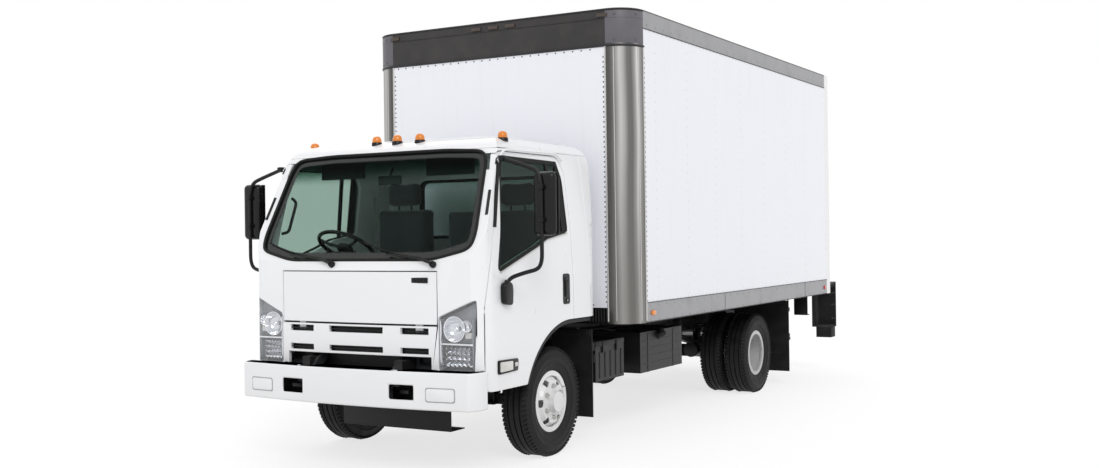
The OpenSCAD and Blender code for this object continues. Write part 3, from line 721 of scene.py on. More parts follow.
class Solid:
    """A mesh under construction, made by bmesh operators."""

    def __init__(self) -> None:
        """Starts with nothing."""
        self.bm = bmesh.new()

    def _take(self, one: bmesh.types.BMesh, bevel: float = 0.0, segments: int = 2) -> "Solid":
        """Adds a finished shape, with its sharp edges rounded, and frees it."""
        if bevel > 0:
            sharp = sharp_edges(one, CREASE)
            round_edges(one, sharp, bevel, segments)
        shape = bpy.data.meshes.new("shape")
        one.to_mesh(shape)
        one.free()
        self.bm.from_mesh(shape)
        bpy.data.meshes.remove(shape)
        return self

    def box(
        self, low: Sequence[float], high: Sequence[float], bevel: float = 0.0, segments: int = 2
    ) -> "Solid":
        """Adds a block with rounded edges.

        Args:
            low: Its lowest corner.
            high: Its highest corner.
            bevel: Radius of its edges.
            segments: Steps in each rounded edge.

        Returns:
            This solid.
        """
        one = bmesh.new()
        size = Vector(high) - Vector(low)
        place = Matrix.Translation((Vector(high) + Vector(low)) / 2) @ Matrix.Diagonal((*size, 1.0))
        bmesh.ops.create_cube(one, size=1.0, matrix=place)
        return self._take(one, bevel, segments)

    def rod(
        self, start: Sequence[float], end: Sequence[float], radius: float, tip: float | None = None,
        sides: int = 24, bevel: float = 0.0,
    ) -> "Solid":
        """Adds a round bar or cone.

        Args:
            start: Middle of its first end.
            end: Middle of its other end.
            radius: Radius at the start.
            tip: Radius at the end, the same when None.
            sides: Sides round it.
            bevel: Radius of its edges.

        Returns:
            This solid.
        """
        a, b = Vector(start), Vector(end)
        turn = (b - a).to_track_quat("Z", "Y").to_matrix().to_4x4()
        one = bmesh.new()
        bmesh.ops.create_cone(
            one, cap_ends=True, segments=sides, radius1=radius, radius2=radius if tip is None else tip,
            depth=(b - a).length, matrix=Matrix.Translation((a + b) / 2) @ turn,
        )
        return self._take(one, bevel)

    def ball(self, centre: Sequence[float], radii: Point, turns: int = 24) -> "Solid":
        """Adds an ellipsoid about a centre."""
        place = Matrix.Translation(Vector(centre)) @ Matrix.Diagonal((*radii, 1.0))
        one = bmesh.new()
        bmesh.ops.create_uvsphere(one, u_segments=turns, v_segments=turns // 2, radius=1.0, matrix=place)
        return self._take(one)

    def plate(
        self, outline: Sequence[Flat], axis: Axis, start: float, end: float, bevel: float = 0.0,
        segments: int = 2,
    ) -> "Solid":
        """Extrudes an outline.

        Args:
            outline: Corners in the two other directions, in X-Y-Z order.
            axis: Direction of the extrusion.
            start: Where it starts along the axis.
            end: Where it ends.
            bevel: Radius of its edges.
            segments: Steps in each rounded edge.

        Returns:
            This solid.
        """
        place: dict[Axis, Callable[[Flat], Point]] = {
            Axis.X: lambda p: (start, p[0], p[1]),
            Axis.Y: lambda p: (p[0], start, p[1]),
            Axis.Z: lambda p: (p[0], p[1], start),
        }
        one = bmesh.new()
        face = one.faces.new([one.verts.new(place[axis](p)) for p in outline])
        grown = bmesh.ops.extrude_face_region(one, geom=[face], use_keep_orig=True)["geom"]
        moved = [v for v in grown if isinstance(v, bmesh.types.BMVert)]
        bmesh.ops.translate(one, verts=moved, vec=axis.value * (end - start))
        bmesh.ops.recalc_face_normals(one, faces=one.faces)
        return self._take(one, bevel, segments)

    def lathe(
        self, profile: Sequence[Flat], centre: Sequence[float], axis: Axis, steps: int = 64
    ) -> "Solid":
        """Spins a closed profile into a ring, or one that starts and ends on the axis into a disc.

        Args:
            profile: Radius and distance along the axis, corner by corner.
            centre: A point on the axis.
            axis: Direction of the axis.
            steps: Steps in the full turn.

        Returns:
            This solid.
        """
        one = bmesh.new()
        middle_point = Vector(centre)
        way = axis.value
        out = way.orthogonal().normalized()
        verts = [one.verts.new(middle_point + out * r + way * a) for r, a in profile]
        pairs = list(zip(verts, verts[1:]))
        if profile[0][0] > 1e-6:
            pairs.append((verts[-1], verts[0]))
        edges = [one.edges.new(pair) for pair in pairs]
        bmesh.ops.spin(
            one, geom=verts + edges, cent=middle_point, axis=way, angle=FULL_TURN, steps=steps,
            use_merge=True, use_duplicate=False,
        )
        bmesh.ops.remove_doubles(one, verts=one.verts, dist=1e-5)
        bmesh.ops.recalc_face_normals(one, faces=one.faces)
        return self._take(one)

    def tube(
        self, path: Sequence[Sequence[float]], radius: float, sides: int = 4, loop: bool = False
    ) -> "Solid":
        """Adds a round tube that follows straight runs between points.

        Args:
            path: Points that it follows.
            radius: Its radius.
            sides: Quarter resolution of its section.
            loop: True if it closes on itself.

        Returns:
            This solid.
        """
        curve = bpy.data.curves.new("path", "CURVE")
        curve.dimensions = "3D"
        curve.bevel_depth = radius
        curve.bevel_resolution = sides
        curve.use_fill_caps = not loop
        spline = curve.splines.new("POLY")
        spline.points.add(len(path) - 1)
        for spot, point in zip(spline.points, path):
            spot.co = (*point, 1.0)
        spline.use_cyclic_u = loop
        carrier = bpy.data.objects.new("path", curve)
        mesh = bpy.data.meshes.new_from_object(carrier)
        one = bmesh.new()
        one.from_mesh(mesh)
        bmesh.ops.remove_doubles(one, verts=one.verts, dist=1e-6)
        bmesh.ops.recalc_face_normals(one, faces=one.faces)
        bpy.data.objects.remove(carrier)
        bpy.data.curves.remove(curve)
        bpy.data.meshes.remove(mesh)
        return self._take(one)

    def stamp(self, places: Iterable[Matrix], build: Callable[["Solid"], object]) -> "Solid":
        """Repeats a small shape.

        Args:
            places: Where each copy goes.
            build: Makes the shape about the origin.

        Returns:
            This solid.
        """
        pattern = Solid()
        build(pattern)
        shape, placed = bpy.data.meshes.new("pattern"), bpy.data.meshes.new("placed")
        pattern.bm.to_mesh(shape)
        for place in places:
            one = bmesh.new()
            one.from_mesh(shape)
            bmesh.ops.transform(one, matrix=place, verts=one.verts)
            one.to_mesh(placed)
            one.free()
            self.bm.from_mesh(placed)
        pattern.bm.free()
        bpy.data.meshes.remove(shape)
        bpy.data.meshes.remove(placed)
        return self

    def join(self, other: "Solid") -> "Solid":
        """Adds another solid's shape and empties it."""
        return self._take(other.bm)

    def mirror(self) -> "Solid":
        """Adds the mirror image across the truck's middle."""
        source = self.bm.verts[:] + self.bm.edges[:] + self.bm.faces[:]
        copied = bmesh.ops.duplicate(self.bm, geom=source)["geom"]
        verts = [v for v in copied if isinstance(v, bmesh.types.BMVert)]
        faces = [f for f in copied if isinstance(f, bmesh.types.BMFace)]
        bmesh.ops.scale(self.bm, vec=(-1.0, 1.0, 1.0), verts=verts)
        bmesh.ops.reverse_faces(self.bm, faces=faces)
        return self

    def flip(self, side: float) -> "Solid":
        """Mirrors the whole solid when side is RIGHT."""
        if side < 0:
            bmesh.ops.scale(self.bm, vec=(-1.0, 1.0, 1.0), verts=self.bm.verts)
            bmesh.ops.reverse_faces(self.bm, faces=self.bm.faces)
        return self

    def piece(
        self, name: str, body: str, finish: Finish, slot: str, stands_for: Sequence[str] = (),
        crease: float = CREASE,
    ) -> bpy.types.Object:
        """Turns the solid into a finished piece that rides on a body.

        Args:
            name: The piece's name.
            body: The body that carries it.
            finish: Its finish.
            slot: The record's material slot; not used.
            stands_for: Construction nodes that it replaces.
            crease: Edges sharper than this many degrees stay crisp.

        Returns:
            The new object.
        """
        bmesh.ops.translate(self.bm, verts=self.bm.verts, vec=(0.0, AXLE_Y, 0.0))
        mesh = bpy.data.meshes.new(name)
        self.bm.to_mesh(mesh)
        self.bm.free()
        return adopt(mesh, name, body, [finish], stands_for, crease)


def adopt(
    mesh: bpy.types.Mesh, name: str, body: str, finishes: Sequence[Finish],
    stands_for: Sequence[str] = (), crease: float = CREASE,
) -> bpy.types.Object:
    """Makes an object of a mesh, dresses it and lets it ride on a body.

    Args:
        mesh: The finished mesh.
        name: The piece's name.
        body: The body that carries it.
        finishes: Its finishes, by material index.
        stands_for: Construction nodes that it replaces.
        crease: Edges sharper than this many degrees stay crisp.

    Returns:
        The new object.
    """
    mesh.name = name
    mesh.materials.clear()
    for finish in finishes:
        mesh.materials.append(finish.material())
    mesh.shade_smooth()
    mesh.set_sharp_from_angle(angle=math.radians(crease))
    made = bpy.data.objects.new(name, mesh)
    bpy.context.scene.collection.objects.link(made)
    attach(made, body)
    if stands_for:
        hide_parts(*stands_for)
    log.info("%s on %s, %d faces", name, body, len(mesh.polygons))
    return made


NODE_BODY = {node: body for body, nodes in frame["record"]["behaviour"]["bodies"].items() for node in nodes}


def refined(
    node: str, finish: Finish, bevel: float = 0.0, lining: Finish | None = None
) -> bpy.types.Object:
    """A merged copy of a construction node with eased edges, in that node's place.

    Args:
        node: The construction node.
        finish: Finish of its outer faces.
        bevel: Radius of its eased edges.
        lining: Finish of faces that look into the cab.

    Returns:
        The new object.
    """
    bm = bmesh.new()
    bm.from_mesh(frame["nodes"][node].data)
    bmesh.ops.remove_doubles(bm, verts=bm.verts, dist=SKIN_MERGE)
    bmesh.ops.dissolve_limit(bm, angle_limit=math.radians(0.6), verts=bm.verts, edges=bm.edges)
    bmesh.ops.dissolve_degenerate(bm, edges=bm.edges, dist=SKIN_MERGE)
    if lining is not None:
        heart = at(0.0, -0.1, 1.55)
        for face in bm.faces:
            inward = face.normal.dot((heart - face.calc_center_median()).normalized())
            if inward > 0.45:
                face.material_index = 1
    if bevel > 0:
        round_edges(bm, sharp_edges(bm, SKIN_SHARP), bevel, 2, clamp=False)
    mesh = bpy.data.meshes.new(node)
    bm.to_mesh(mesh)
    bm.free()
    finishes = [finish] if lining is None else [finish, lining]
    made = adopt(mesh, node + "_skin", NODE_BODY[node], finishes, [node], 50.0)
    weigh = made.modifiers.new("weigh", "WEIGHTED_NORMAL")
    weigh.keep_sharp = True
    weigh.weight = 60
    return made


def dress(node: str, finish: Finish) -> None:
    """Gives a construction node that stays in view its finish."""
    shown = frame["nodes"][node]
    for spot in shown.material_slots:
        spot.material = finish.material()
    if not shown.material_slots:
        shown.data.materials.append(finish.material())


# ------------------------------------------------------------------ palette

WHITE = GlossPaint("cab_white", (0.83, 0.835, 0.85))
BUMPER_WHITE = GlossPaint("bumper_white", (0.80, 0.805, 0.82), film_top=0.75, film=0.18)
PANEL = SheetPanel("body_panel", (0.84, 0.85, 0.90))
ROLL_PANEL = SheetPanel("roll_door_panel", (0.80, 0.81, 0.83), pitch=0.4)
FRAME_WHITE = GlossPaint("rear_frame_white", (0.80, 0.80, 0.80), film_top=1.3, film=0.35)
ROOF = Brushed("roof_sheet", (0.72, 0.73, 0.74), grain=(1.0, 40.0, 40.0), roughness=0.4, stain=0.2)
RAIL = Brushed("rail_aluminium", (0.36, 0.36, 0.37), grain=(60.0, 1.2, 60.0), roughness=0.42, metallic=0.5)
# The posts' colour carries painted reflection stripes and painted highlights, set in PolishedPost.
POST = PolishedPost("post_steel", (0.5, 0.5, 0.49))
CAP = DustyPaint("cap_grey", (0.034, 0.032, 0.032), dust=0.22, rust=0.0, roughness=0.42)
CASTING = DustyPaint("corner_casting", (0.12, 0.115, 0.13), dust=0.3, rust=0.0, roughness=0.38)
CHASSIS = DustyPaint("chassis_black", (0.006, 0.006, 0.0065), dust=0.08, rust=0.16)
CAST_GREY = DustyPaint("cast_grey", (0.03, 0.03, 0.03), dust=0.25, rust=0.3, roughness=0.6)
TANK = DustyPaint("tank_black", (0.008, 0.008, 0.009), dust=0.10, rust=0.08, roughness=0.4)
EXHAUST = Brushed("exhaust_steel", (0.14, 0.125, 0.11), grain=(30, 1, 30), roughness=0.5, stain=0.6)
RUST = DustyPaint("rusty_iron", (0.16, 0.065, 0.03), dust=0.4, rust=1.0, roughness=0.8)
SILL = DustyPaint("floor_dark", (0.010, 0.010, 0.011), dust=0.12, rust=0.1)
TRIM = Plastic("trim_black", (0.0055, 0.0055, 0.006), roughness=0.40)
GLOSS_TRIM = Plastic("gloss_black", (0.004, 0.004, 0.0045), roughness=0.2, scuff=0.04)
INTERIOR = Plastic("interior_grey", (0.022, 0.024, 0.027), roughness=0.55, grain=500.0)
LINING = Plastic("cab_lining", (0.05, 0.055, 0.06), roughness=0.6, grain=300.0)
HEADLINER = Plastic("headliner", (0.10, 0.105, 0.11), roughness=0.8, grain=260.0)
SEAT = Cloth("seat_cloth", (0.06, 0.064, 0.072))
FLAP = Rubber("flap_rubber", (0.005, 0.005, 0.005), bloom=0.15)
TYRE = Rubber("tyre_black", (0.0065, 0.0065, 0.007), bloom=0.2)
SEAL = Rubber("window_seal", (0.004, 0.004, 0.004), bloom=0.05)
WHEEL_WHITE = GlossPaint("wheel_white", (0.78, 0.78, 0.79), film_top=0.62, film=0.30)
# A darker copy of the wheel white, used on the rear rims: painted shade of their deep-dished barrels.
WHEEL_WHITE_SHADED = GlossPaint("wheel_grey", (0.50, 0.50, 0.51), film_top=0.62, film=0.35)
DARK_HUB = DustyPaint("hub_iron", (0.03, 0.03, 0.032), dust=0.3, rust=0.3)
RIVET = Brushed("rivet_dark", (0.07, 0.07, 0.08), grain=(5, 5, 5), roughness=0.5)
ZINC = Brushed("bright_zinc", (0.60, 0.60, 0.58), grain=(8, 8, 8), roughness=0.35)
CHROME = Chrome("reflector", (0.86, 0.86, 0.88))
MIRROR_FACE = Chrome("mirror_face", (0.75, 0.78, 0.80), roughness=0.02)
LAMP_CLEAR = Lens("lamp_clear", (0.90, 0.91, 0.92), clear=0.90, ribs=45.0)
LAMP_AMBER = Lens("lamp_amber", (0.78, 0.23, 0.012), clear=0.12, ribs=120.0)
LAMP_GREY = Plastic("lamp_housing", (0.30, 0.31, 0.33), roughness=0.35, grain=300.0, scuff=0.05)
BLANK_GROOVE = Plastic("blank_groove", (0.34, 0.34, 0.35), roughness=0.5, grain=300.0, scuff=0.05)
LAMP_SIDE = Lens("lamp_side", (0.90, 0.88, 0.84), clear=0.35, ribs=80.0)
LAMP_SMOKE = Lens("lamp_smoke", (0.05, 0.03, 0.02), clear=0.1, ribs=60.0)
WEBBING = Cloth("belt_webbing", (0.30, 0.30, 0.31), thread=0.0016)
CAP_EDGE = DustyPaint("cap_edge", (0.022, 0.022, 0.024), dust=0.15, rust=0.0, roughness=0.4)
RAIL_EDGE = DustyPaint("rail_edge", (0.06, 0.06, 0.064), dust=0.2, rust=0.0, roughness=0.5)
WALL_RIVET = SheetPanel("wall_rivet", (0.66, 0.67, 0.71))
LAMP_RED = Lens("lamp_red", (0.55, 0.015, 0.015), clear=0.15, ribs=90.0)
SIDE_GLASS = Pane("side_glass", (0.012, 0.015, 0.014), through=(0.66, 0.73, 0.70))
SCREEN_CORNERS: tuple[Flat, ...] = (
    (-0.60, 1.412), (0.60, 1.412), (0.884, 1.48), (0.905, 1.57), (0.848, 2.05), (0.806, 2.132), (0.50, 2.15),
    (-0.50, 2.15),
)
SCREEN_OUTLINE = [p for p in eased(SCREEN_CORNERS, 0.07) if p[0] > 0.0]
SCREEN_EDGES = tuple(zip([(0.0, 1.412), *SCREEN_OUTLINE[::2]], [*SCREEN_OUTLINE[::2], (0.0, 2.15)]))
SCREEN_GLASS = Windscreen(
    "screen_glass", (0.012, 0.016, 0.014), through=(0.86, 0.93, 0.90), edges=SCREEN_EDGES
)


# ------------------------------------------------------------------ studio


@dataclass
class Studio:
    """Camera, lamps and a pale floor."""

    eye: Vector = field(default_factory=lambda: at(5.1601, -7.3341, 1.5612))
    yaw: float = 0.5246
    pitch: float = 0.0012
    roll: float = -0.0137
    lens: float = 39.12
    sensor: float = 36.0
    ambient: float = 0.80

    def camera(self) -> None:
        """Places the camera where it sees the truck's front left corner."""
        ahead = Vector((-math.sin(self.yaw) * math.cos(self.pitch), math.cos(self.yaw) * math.cos(self.pitch),
                        math.sin(self.pitch)))
        right = Vector((math.cos(self.yaw), math.sin(self.yaw), 0.0))
        up = right.cross(ahead)
        tilted_right = right * math.cos(self.roll) + up * math.sin(self.roll)
        tilted_up = up * math.cos(self.roll) - right * math.sin(self.roll)
        data = bpy.data.cameras.new("camera")
        data.lens = self.lens
        data.sensor_width = self.sensor
        data.sensor_fit = "HORIZONTAL"
        data.clip_end = 400.0
        eye = bpy.data.objects.new("camera", data)
        bpy.context.scene.collection.objects.link(eye)
        turn = Matrix((tilted_right, tilted_up, -ahead)).transposed().to_4x4()
        eye.matrix_world = Matrix.Translation(self.eye) @ turn
        bpy.context.scene.camera = eye

    def lamp(self, name: str, aim: Point, strength: float, angle: float) -> None:
        """Adds a soft distant lamp that shines along aim."""
        data = bpy.data.lights.new(name, "SUN")
        data.energy = strength
        data.angle = math.radians(angle)
        made = bpy.data.objects.new(name, data)
        made.rotation_mode = "QUATERNION"
        made.rotation_quaternion = Vector(aim).to_track_quat("-Z", "Y")
        bpy.context.scene.collection.objects.link(made)

    def seen(self, tree: bpy.types.NodeTree) -> bpy.types.NodeSocket:
        """A value of 1 for what is seen directly, in gloss or through glass."""
        path = tree.nodes.new("ShaderNodeLightPath")
        total = path.outputs["Is Camera Ray"]
        for name in ("Is Glossy Ray", "Is Transmission Ray"):
            join = tree.nodes.new("ShaderNodeMath")
            join.operation = "MAXIMUM"
            tree.links.new(total, join.inputs[0])
            tree.links.new(path.outputs[name], join.inputs[1])
            total = join.outputs[0]
        return total

    def world(self) -> None:
        """A plain pale surround that reads as white where it is seen."""
        world = bpy.data.worlds.new("surround")
        bpy.context.scene.world = world
        world.use_nodes = True
        tree = world.node_tree
        back = tree.nodes["Background"]
        back.inputs["Color"].default_value = (1.0, 1.0, 1.0, 1.0)
        level = tree.nodes.new("ShaderNodeMix")
        level.inputs[2].default_value = self.ambient
        level.inputs[3].default_value = 1.0
        tree.links.new(self.seen(tree), level.inputs[0])
        tree.links.new(level.outputs[0], back.inputs["Strength"])

    def floor(self) -> None:
        """A pale floor that keeps the truck's soft shadow."""
        graph = Graph("pale_floor")
        lit = graph.node("ShaderNodeBsdfDiffuse", None, {"Color": graph.blend(
            graph.cloud(1.5), (0.80, 0.80, 0.80), (0.83, 0.83, 0.83))})
        glow = graph.node("ShaderNodeEmission", None, {"Color": (1.0, 1.0, 1.0, 1.0), "Strength": 1.12})
        seen = Sock(graph, self.seen(graph.tree))
        graph.finish(graph.node("ShaderNodeMixShader", None, {0: seen * 0.66, 1: lit, 2: glow}))
        bm = bmesh.new()
        bmesh.ops.create_circle(bm, cap_ends=True, segments=96, radius=FLOOR_RADIUS)
        mesh = bpy.data.meshes.new("floor")
        bm.to_mesh(mesh)
        bm.free()
        mesh.materials.append(graph.material)
        made = bpy.data.objects.new("floor", mesh)
        bpy.context.scene.collection.objects.link(made)

    def build(self) -> None:
        """Sets up the whole studio."""
        self.camera()
        self.world()
        self.floor()
        self.lamp("key", (-0.55, 0.62, -0.62), 1.05, 25.0)
        self.lamp("back_fill", (0.5, -0.7, -0.6), 0.45, 40.0)
        bpy.context.scene.view_settings.view_transform = "Standard"


# ------------------------------------------------------------------ cab


def both(points: Sequence[Flat]) -> list[Flat]:
    """An outline's right half, then its mirror image in reverse."""
    return [*points, *((-x, z) for x, z in reversed(points))]


def nose(x: float) -> float:
    """How far back the cab's bowed front lies at a distance across."""
    bow, corner, half = 8.7, 0.24, 0.76
    flat = -1.045 + bow - math.sqrt(bow * bow - x * x)
    if abs(x) <= half:
        return flat
    return max(flat, -1.045 + corner - math.sqrt(max(0.0, corner**2 - (abs(x) - half) ** 2)))


def flank(z: float) -> float:
    """How far out the cab's side lies at a height."""
    if z < 1.25:
        return 1.0
    return 1.0 - 0.02 * (z - 1.25) / 0.35 if z < 1.6 else 0.98 - 0.062 * (z - 1.6) / 0.51


def screen(x: float, z: float, out: float = 0.0) -> Point:
    """A point on the raked windscreen, moved out from the glass."""
    y = max(-1.005 + (z - 1.405) * 0.464, nose(x)) - out * 0.907
    return (x, y, z + out * 0.421)


@dataclass
class CabShell:
    """The painted skins of the cab and its front bumper."""

    ease: float = 0.004
    blank_x: Flat = (0.655, 0.855)
    blank_z: Flat = (0.515, 0.595)

    def build(self) -> None:
        """Eases the edges of every painted panel and lines the inside."""
        for node in ("cab_front", "door_left", "door_right", "cab_back"):
            refined(node, WHITE, self.ease, lining=LINING)
        refined("cab_roof", WHITE, self.ease, lining=HEADLINER)
        refined("front_lid", WHITE, self.ease, lining=LINING)
        refined("front_bumper", BUMPER_WHITE, 0.012)
        self.blanks()
        self.lid_plate()
        self.gutters()

    def blanks(self) -> None:
        """Raised blanking panels on the bumper, with their shadow gap."""
        panel, groove = Solid(), Solid()
        (x0, x1), (z0, z1) = self.blank_x, self.blank_z
        for solid, grow, y0, y1 in ((groove, 0.007, -1.140, -1.120), (panel, 0.0, -1.143, -1.120)):
            outline = eased(oblong(x0 - grow, x1 + grow, z0 - grow, z1 + grow), 0.018)
            solid.plate(outline, Axis.Y, y0, y1, 0.002)
            for vert in solid.bm.verts:
                vert.co.y += bumper_face(vert.co.x) + 1.138
            solid.mirror()
        groove.piece("bumper_blank_grooves", "chassis", BLANK_GROOVE, "trim_black")
        panel.piece("bumper_blanks", "chassis", BUMPER_WHITE, "cab_white")

    def lid_plate(self) -> None:
        """The small blank louvred plate on the lid."""
        plate = Solid()
        y = nose(0.53)
        plate.box((0.462, y - 0.004, 1.262), (0.592, y + 0.006, 1.298), 0.003)
        for k in range(4):
            x = 0.475 + k * 0.027
            plate.box((x, y - 0.0065, 1.268), (x + 0.020, y, 1.292), 0.002)
        plate.piece("lid_plate", "front_lid", GLOSS_TRIM, "trim_black")

    def gutters(self) -> None:
        """Drip rails over the doors and the dark vents on the screen pillars."""
        rail, vent = Solid(), Solid()
        path = [(0.935, -0.70, 2.06), (0.932, -0.62, 2.140), (0.930, 0.07, 2.145), (0.935, 0.16, 2.10)]
        rail.tube(eased3(path, 0.06), 0.008, 2)
        rail.mirror().piece("drip_rails", "cab", WHITE, "cab_white")
        z0, z1, x = 1.70, 1.86, 0.952
        low, high = screen(x, z0), screen(x, z1)
        vent.tube([(x - 0.002, low[1] + 0.004, z0), (x - 0.022, high[1] + 0.004, z1)], 0.013, 2)
        vent.mirror().piece("pillar_vents", "cab", TRIM, "trim_black")


def bumper_face(x: float) -> float:
    """How far back the bumper's bowed face lies at a distance across."""
    bow = -1.18 + 6.5 - math.sqrt(6.5**2 - x * x)
    over = max(0.0, abs(x) - 0.80)
    return max(bow, -1.18 + 0.2 - math.sqrt(max(0.0, 0.04 - over * over)))


@dataclass
class FrontMask:
    """Black liners behind the grille slots, over the bumper and under it."""

    half: float = 0.63
    thick: float = 0.006

    def strip(self, low: float, high: float, depth: float, half: float, steps: int = 20) -> Solid:
        """A sheet that follows the bowed nose.

        Args:
            low: Its lower edge.
            high: Its upper edge.
            depth: How far it stands behind the skin.
            half: Half its width.
            steps: Steps across it.

        Returns:
            The new solid.
        """
        across = [half * (2 * k / steps - 1) for k in range(steps + 1)]
        front = [(x, nose(x) + depth) for x in across]
        back = [(x, nose(x) + depth + self.thick) for x in reversed(across)]
        return Solid().plate(front + back, Axis.Z, low, high)

    def build(self) -> None:
        """Builds the liners, the slot vanes and the dam."""
        liner = self.strip(0.785, 0.988, 0.040, self.half)
        liner.join(self.strip(0.56, 0.792, 0.105, 0.655))
        liner.box((-0.655, -0.92, 0.690), (0.655, -0.905, 0.80), 0.003)
        liner.piece("grille_liner", "cab", TRIM, "trim_black")
        vanes = Solid()
        for low, high in ((0.797, 0.836), (0.925, 0.967)):
            for start, end in ((-0.59, -0.37), (-0.23, 0.23), (0.37, 0.59)):
                mid = (start + end) / 2
                z = (low + high) / 2
                vanes.box((start, nose(mid) + 0.016, z - 0.003), (end, nose(mid) + 0.040, z + 0.003), 0.001)
        vanes.piece("slot_vanes", "cab", TRIM, "trim_black")
        dam = Solid().box((-0.47, -0.612, 0.225), (0.47, -0.600, 0.480), 0.004)
        dam.box((-0.47, -0.612, 0.225), (0.47, -0.44, 0.233), 0.003)
        dam.box((0.40, -0.98, 0.440), (0.62, -0.60, 0.452), 0.004)
        dam.piece("front_air_dam", "chassis", TRIM, "trim_black")
        backs = Solid().box((0.300, -1.032, 0.470), (0.760, -1.026, 0.68), 0.002).mirror()
        backs.piece("tow_pocket_backs", "chassis", TRIM, "trim_black")


@dataclass
class Headlamps:
    """Lamp housings with an upper bowl, a lower facet field and clear covers."""

    inner: float = 0.672
    outer: float = 0.926
    low: float = 0.706
    split: float = 0.868

    def build(self) -> None:
        """Builds what the clear covers show."""
        refined("headlamps", LAMP_CLEAR, 0.003)
        back = nose(0.80) + 0.078
        housing = Solid().plate(
            [(self.inner, self.low), (self.outer, self.low), (self.outer, 1.142), (self.inner, 1.034)],
            Axis.Y, back, back + 0.005, 0.001,
        )
        for x in (self.inner, 0.905):
            housing.box((x, nose(x) + 0.012, self.low), (x + 0.006, back, 1.03), 0.002)
        housing.mirror().piece("lamp_housings", "cab", LAMP_GREY, "lamp_clear")
        bowl = Solid()
        ring = [(0.016, 0.062), (0.045, 0.054), (0.068, 0.032), (0.078, 0.0), (0.084, 0.0), (0.074, 0.036),
                (0.048, 0.060), (0.016, 0.068)]
        for x, z, size in ((0.775, 0.965, 1.0), (0.868, 0.985, 0.46)):
            face = nose(x) + 0.012
            bowl.lathe([(r * size, a * size) for r, a in ring], (x, face, z), Axis.Y, 40)
            bowl.ball((x, face + 0.030 * size, z), (0.019 * size, 0.019 * size, 0.019 * size), 16)
        bowl.box(
            (self.inner, nose(0.8) + 0.010, self.split - 0.006),
            (self.outer - 0.012, back, self.split + 0.006), 0.003,
        )
        bowl.box(
            (self.inner + 0.002, nose(0.68) + 0.004, self.low + 0.006),
            (self.inner + 0.012, back - 0.02, 1.02), 0.003,
        )
        for row in range(4):
            for column in range(6):
                x = self.inner + 0.034 + 0.0335 * column
                z = self.low + 0.026 + 0.036 * row
                bowl.rod((x, back, z), (x, nose(x) + 0.030, z), 0.024, 0.004, 4)
        bowl.mirror().piece("lamp_reflectors", "cab", CHROME, "lamp_clear")
        turn = Solid().box((0.846, nose(0.87) + 0.018, 0.905), (0.898, back - 0.01, 0.945), 0.006)
        turn.mirror().piece("lamp_turn_cells", "cab", LAMP_SIDE, "lamp_clear")


@dataclass
class Glazing:
    """Window panes with their seals, and the wipers."""

    seal: float = 0.011
    pivots: tuple[float, float] = (-0.207, 0.637)
    pivot_z: float = 1.378

    def build(self) -> None:
        """Dresses the panes and builds what frames them."""
        dress("cab_glass", SCREEN_GLASS)
        dress("door_glass_left", SIDE_GLASS)
        dress("door_glass_right", SIDE_GLASS)
        rubber = Solid().tube([screen(x, z, 0.001) for x, z in both(SCREEN_OUTLINE)], self.seal, 2, True)
        rubber.piece("screen_seal", "cab", SEAL, "trim_black")
        corners = eased(oblong(-0.62, 0.62, 1.56, 2.01), 0.07)
        rear = Solid().tube([(x, 0.605, z) for x, z in corners], 0.012, 2, True)
        rear.tube([(x, 0.572, z) for x, z in corners], 0.013, 2, True)
        rear.piece("rear_window_seal", "cab", SEAL, "trim_black")
        self.wipers()

    def wipers(self) -> None:
        """Two wipers parked along the foot of the screen."""
        arms, blades = Solid(), Solid()
        for x in self.pivots:
            hub = screen(x, self.pivot_z, 0.004)
            top = screen(x, self.pivot_z, 0.034)
            arms.rod(hub, top, 0.024, 0.020, 20, 0.004)
            shoulder = screen(x - 0.10, self.pivot_z + 0.030, 0.030)
            wrist = screen(x - 0.36, self.pivot_z + 0.062, 0.024)
            arms.tube([top, shoulder], 0.011, 2)
            hook = screen(x - 0.40, self.pivot_z + 0.066, 0.014)
            arms.tube(eased3([shoulder, wrist, hook], 0.02), 0.0055, 2)
            tip, tail = (x - 0.63, self.pivot_z + 0.152), (x - 0.12, self.pivot_z + 0.045)
            path = []
            for k in range(9):
                t = k / 8
                rise = tail[1] + (tip[1] - tail[1]) * t - 0.018 * math.sin(math.pi * t)
                path.append((tail[0] + (tip[0] - tail[0]) * t, rise))
            blades.tube([screen(*p, 0.010) for p in path], 0.0055, 1)
            blades.tube([screen(*p, 0.004) for p in path], 0.0035, 1)
        arms.piece("wiper_arms", "cab", TRIM, "trim_black")
        blades.piece("wiper_blades", "cab", SEAL, "flap_rubber")


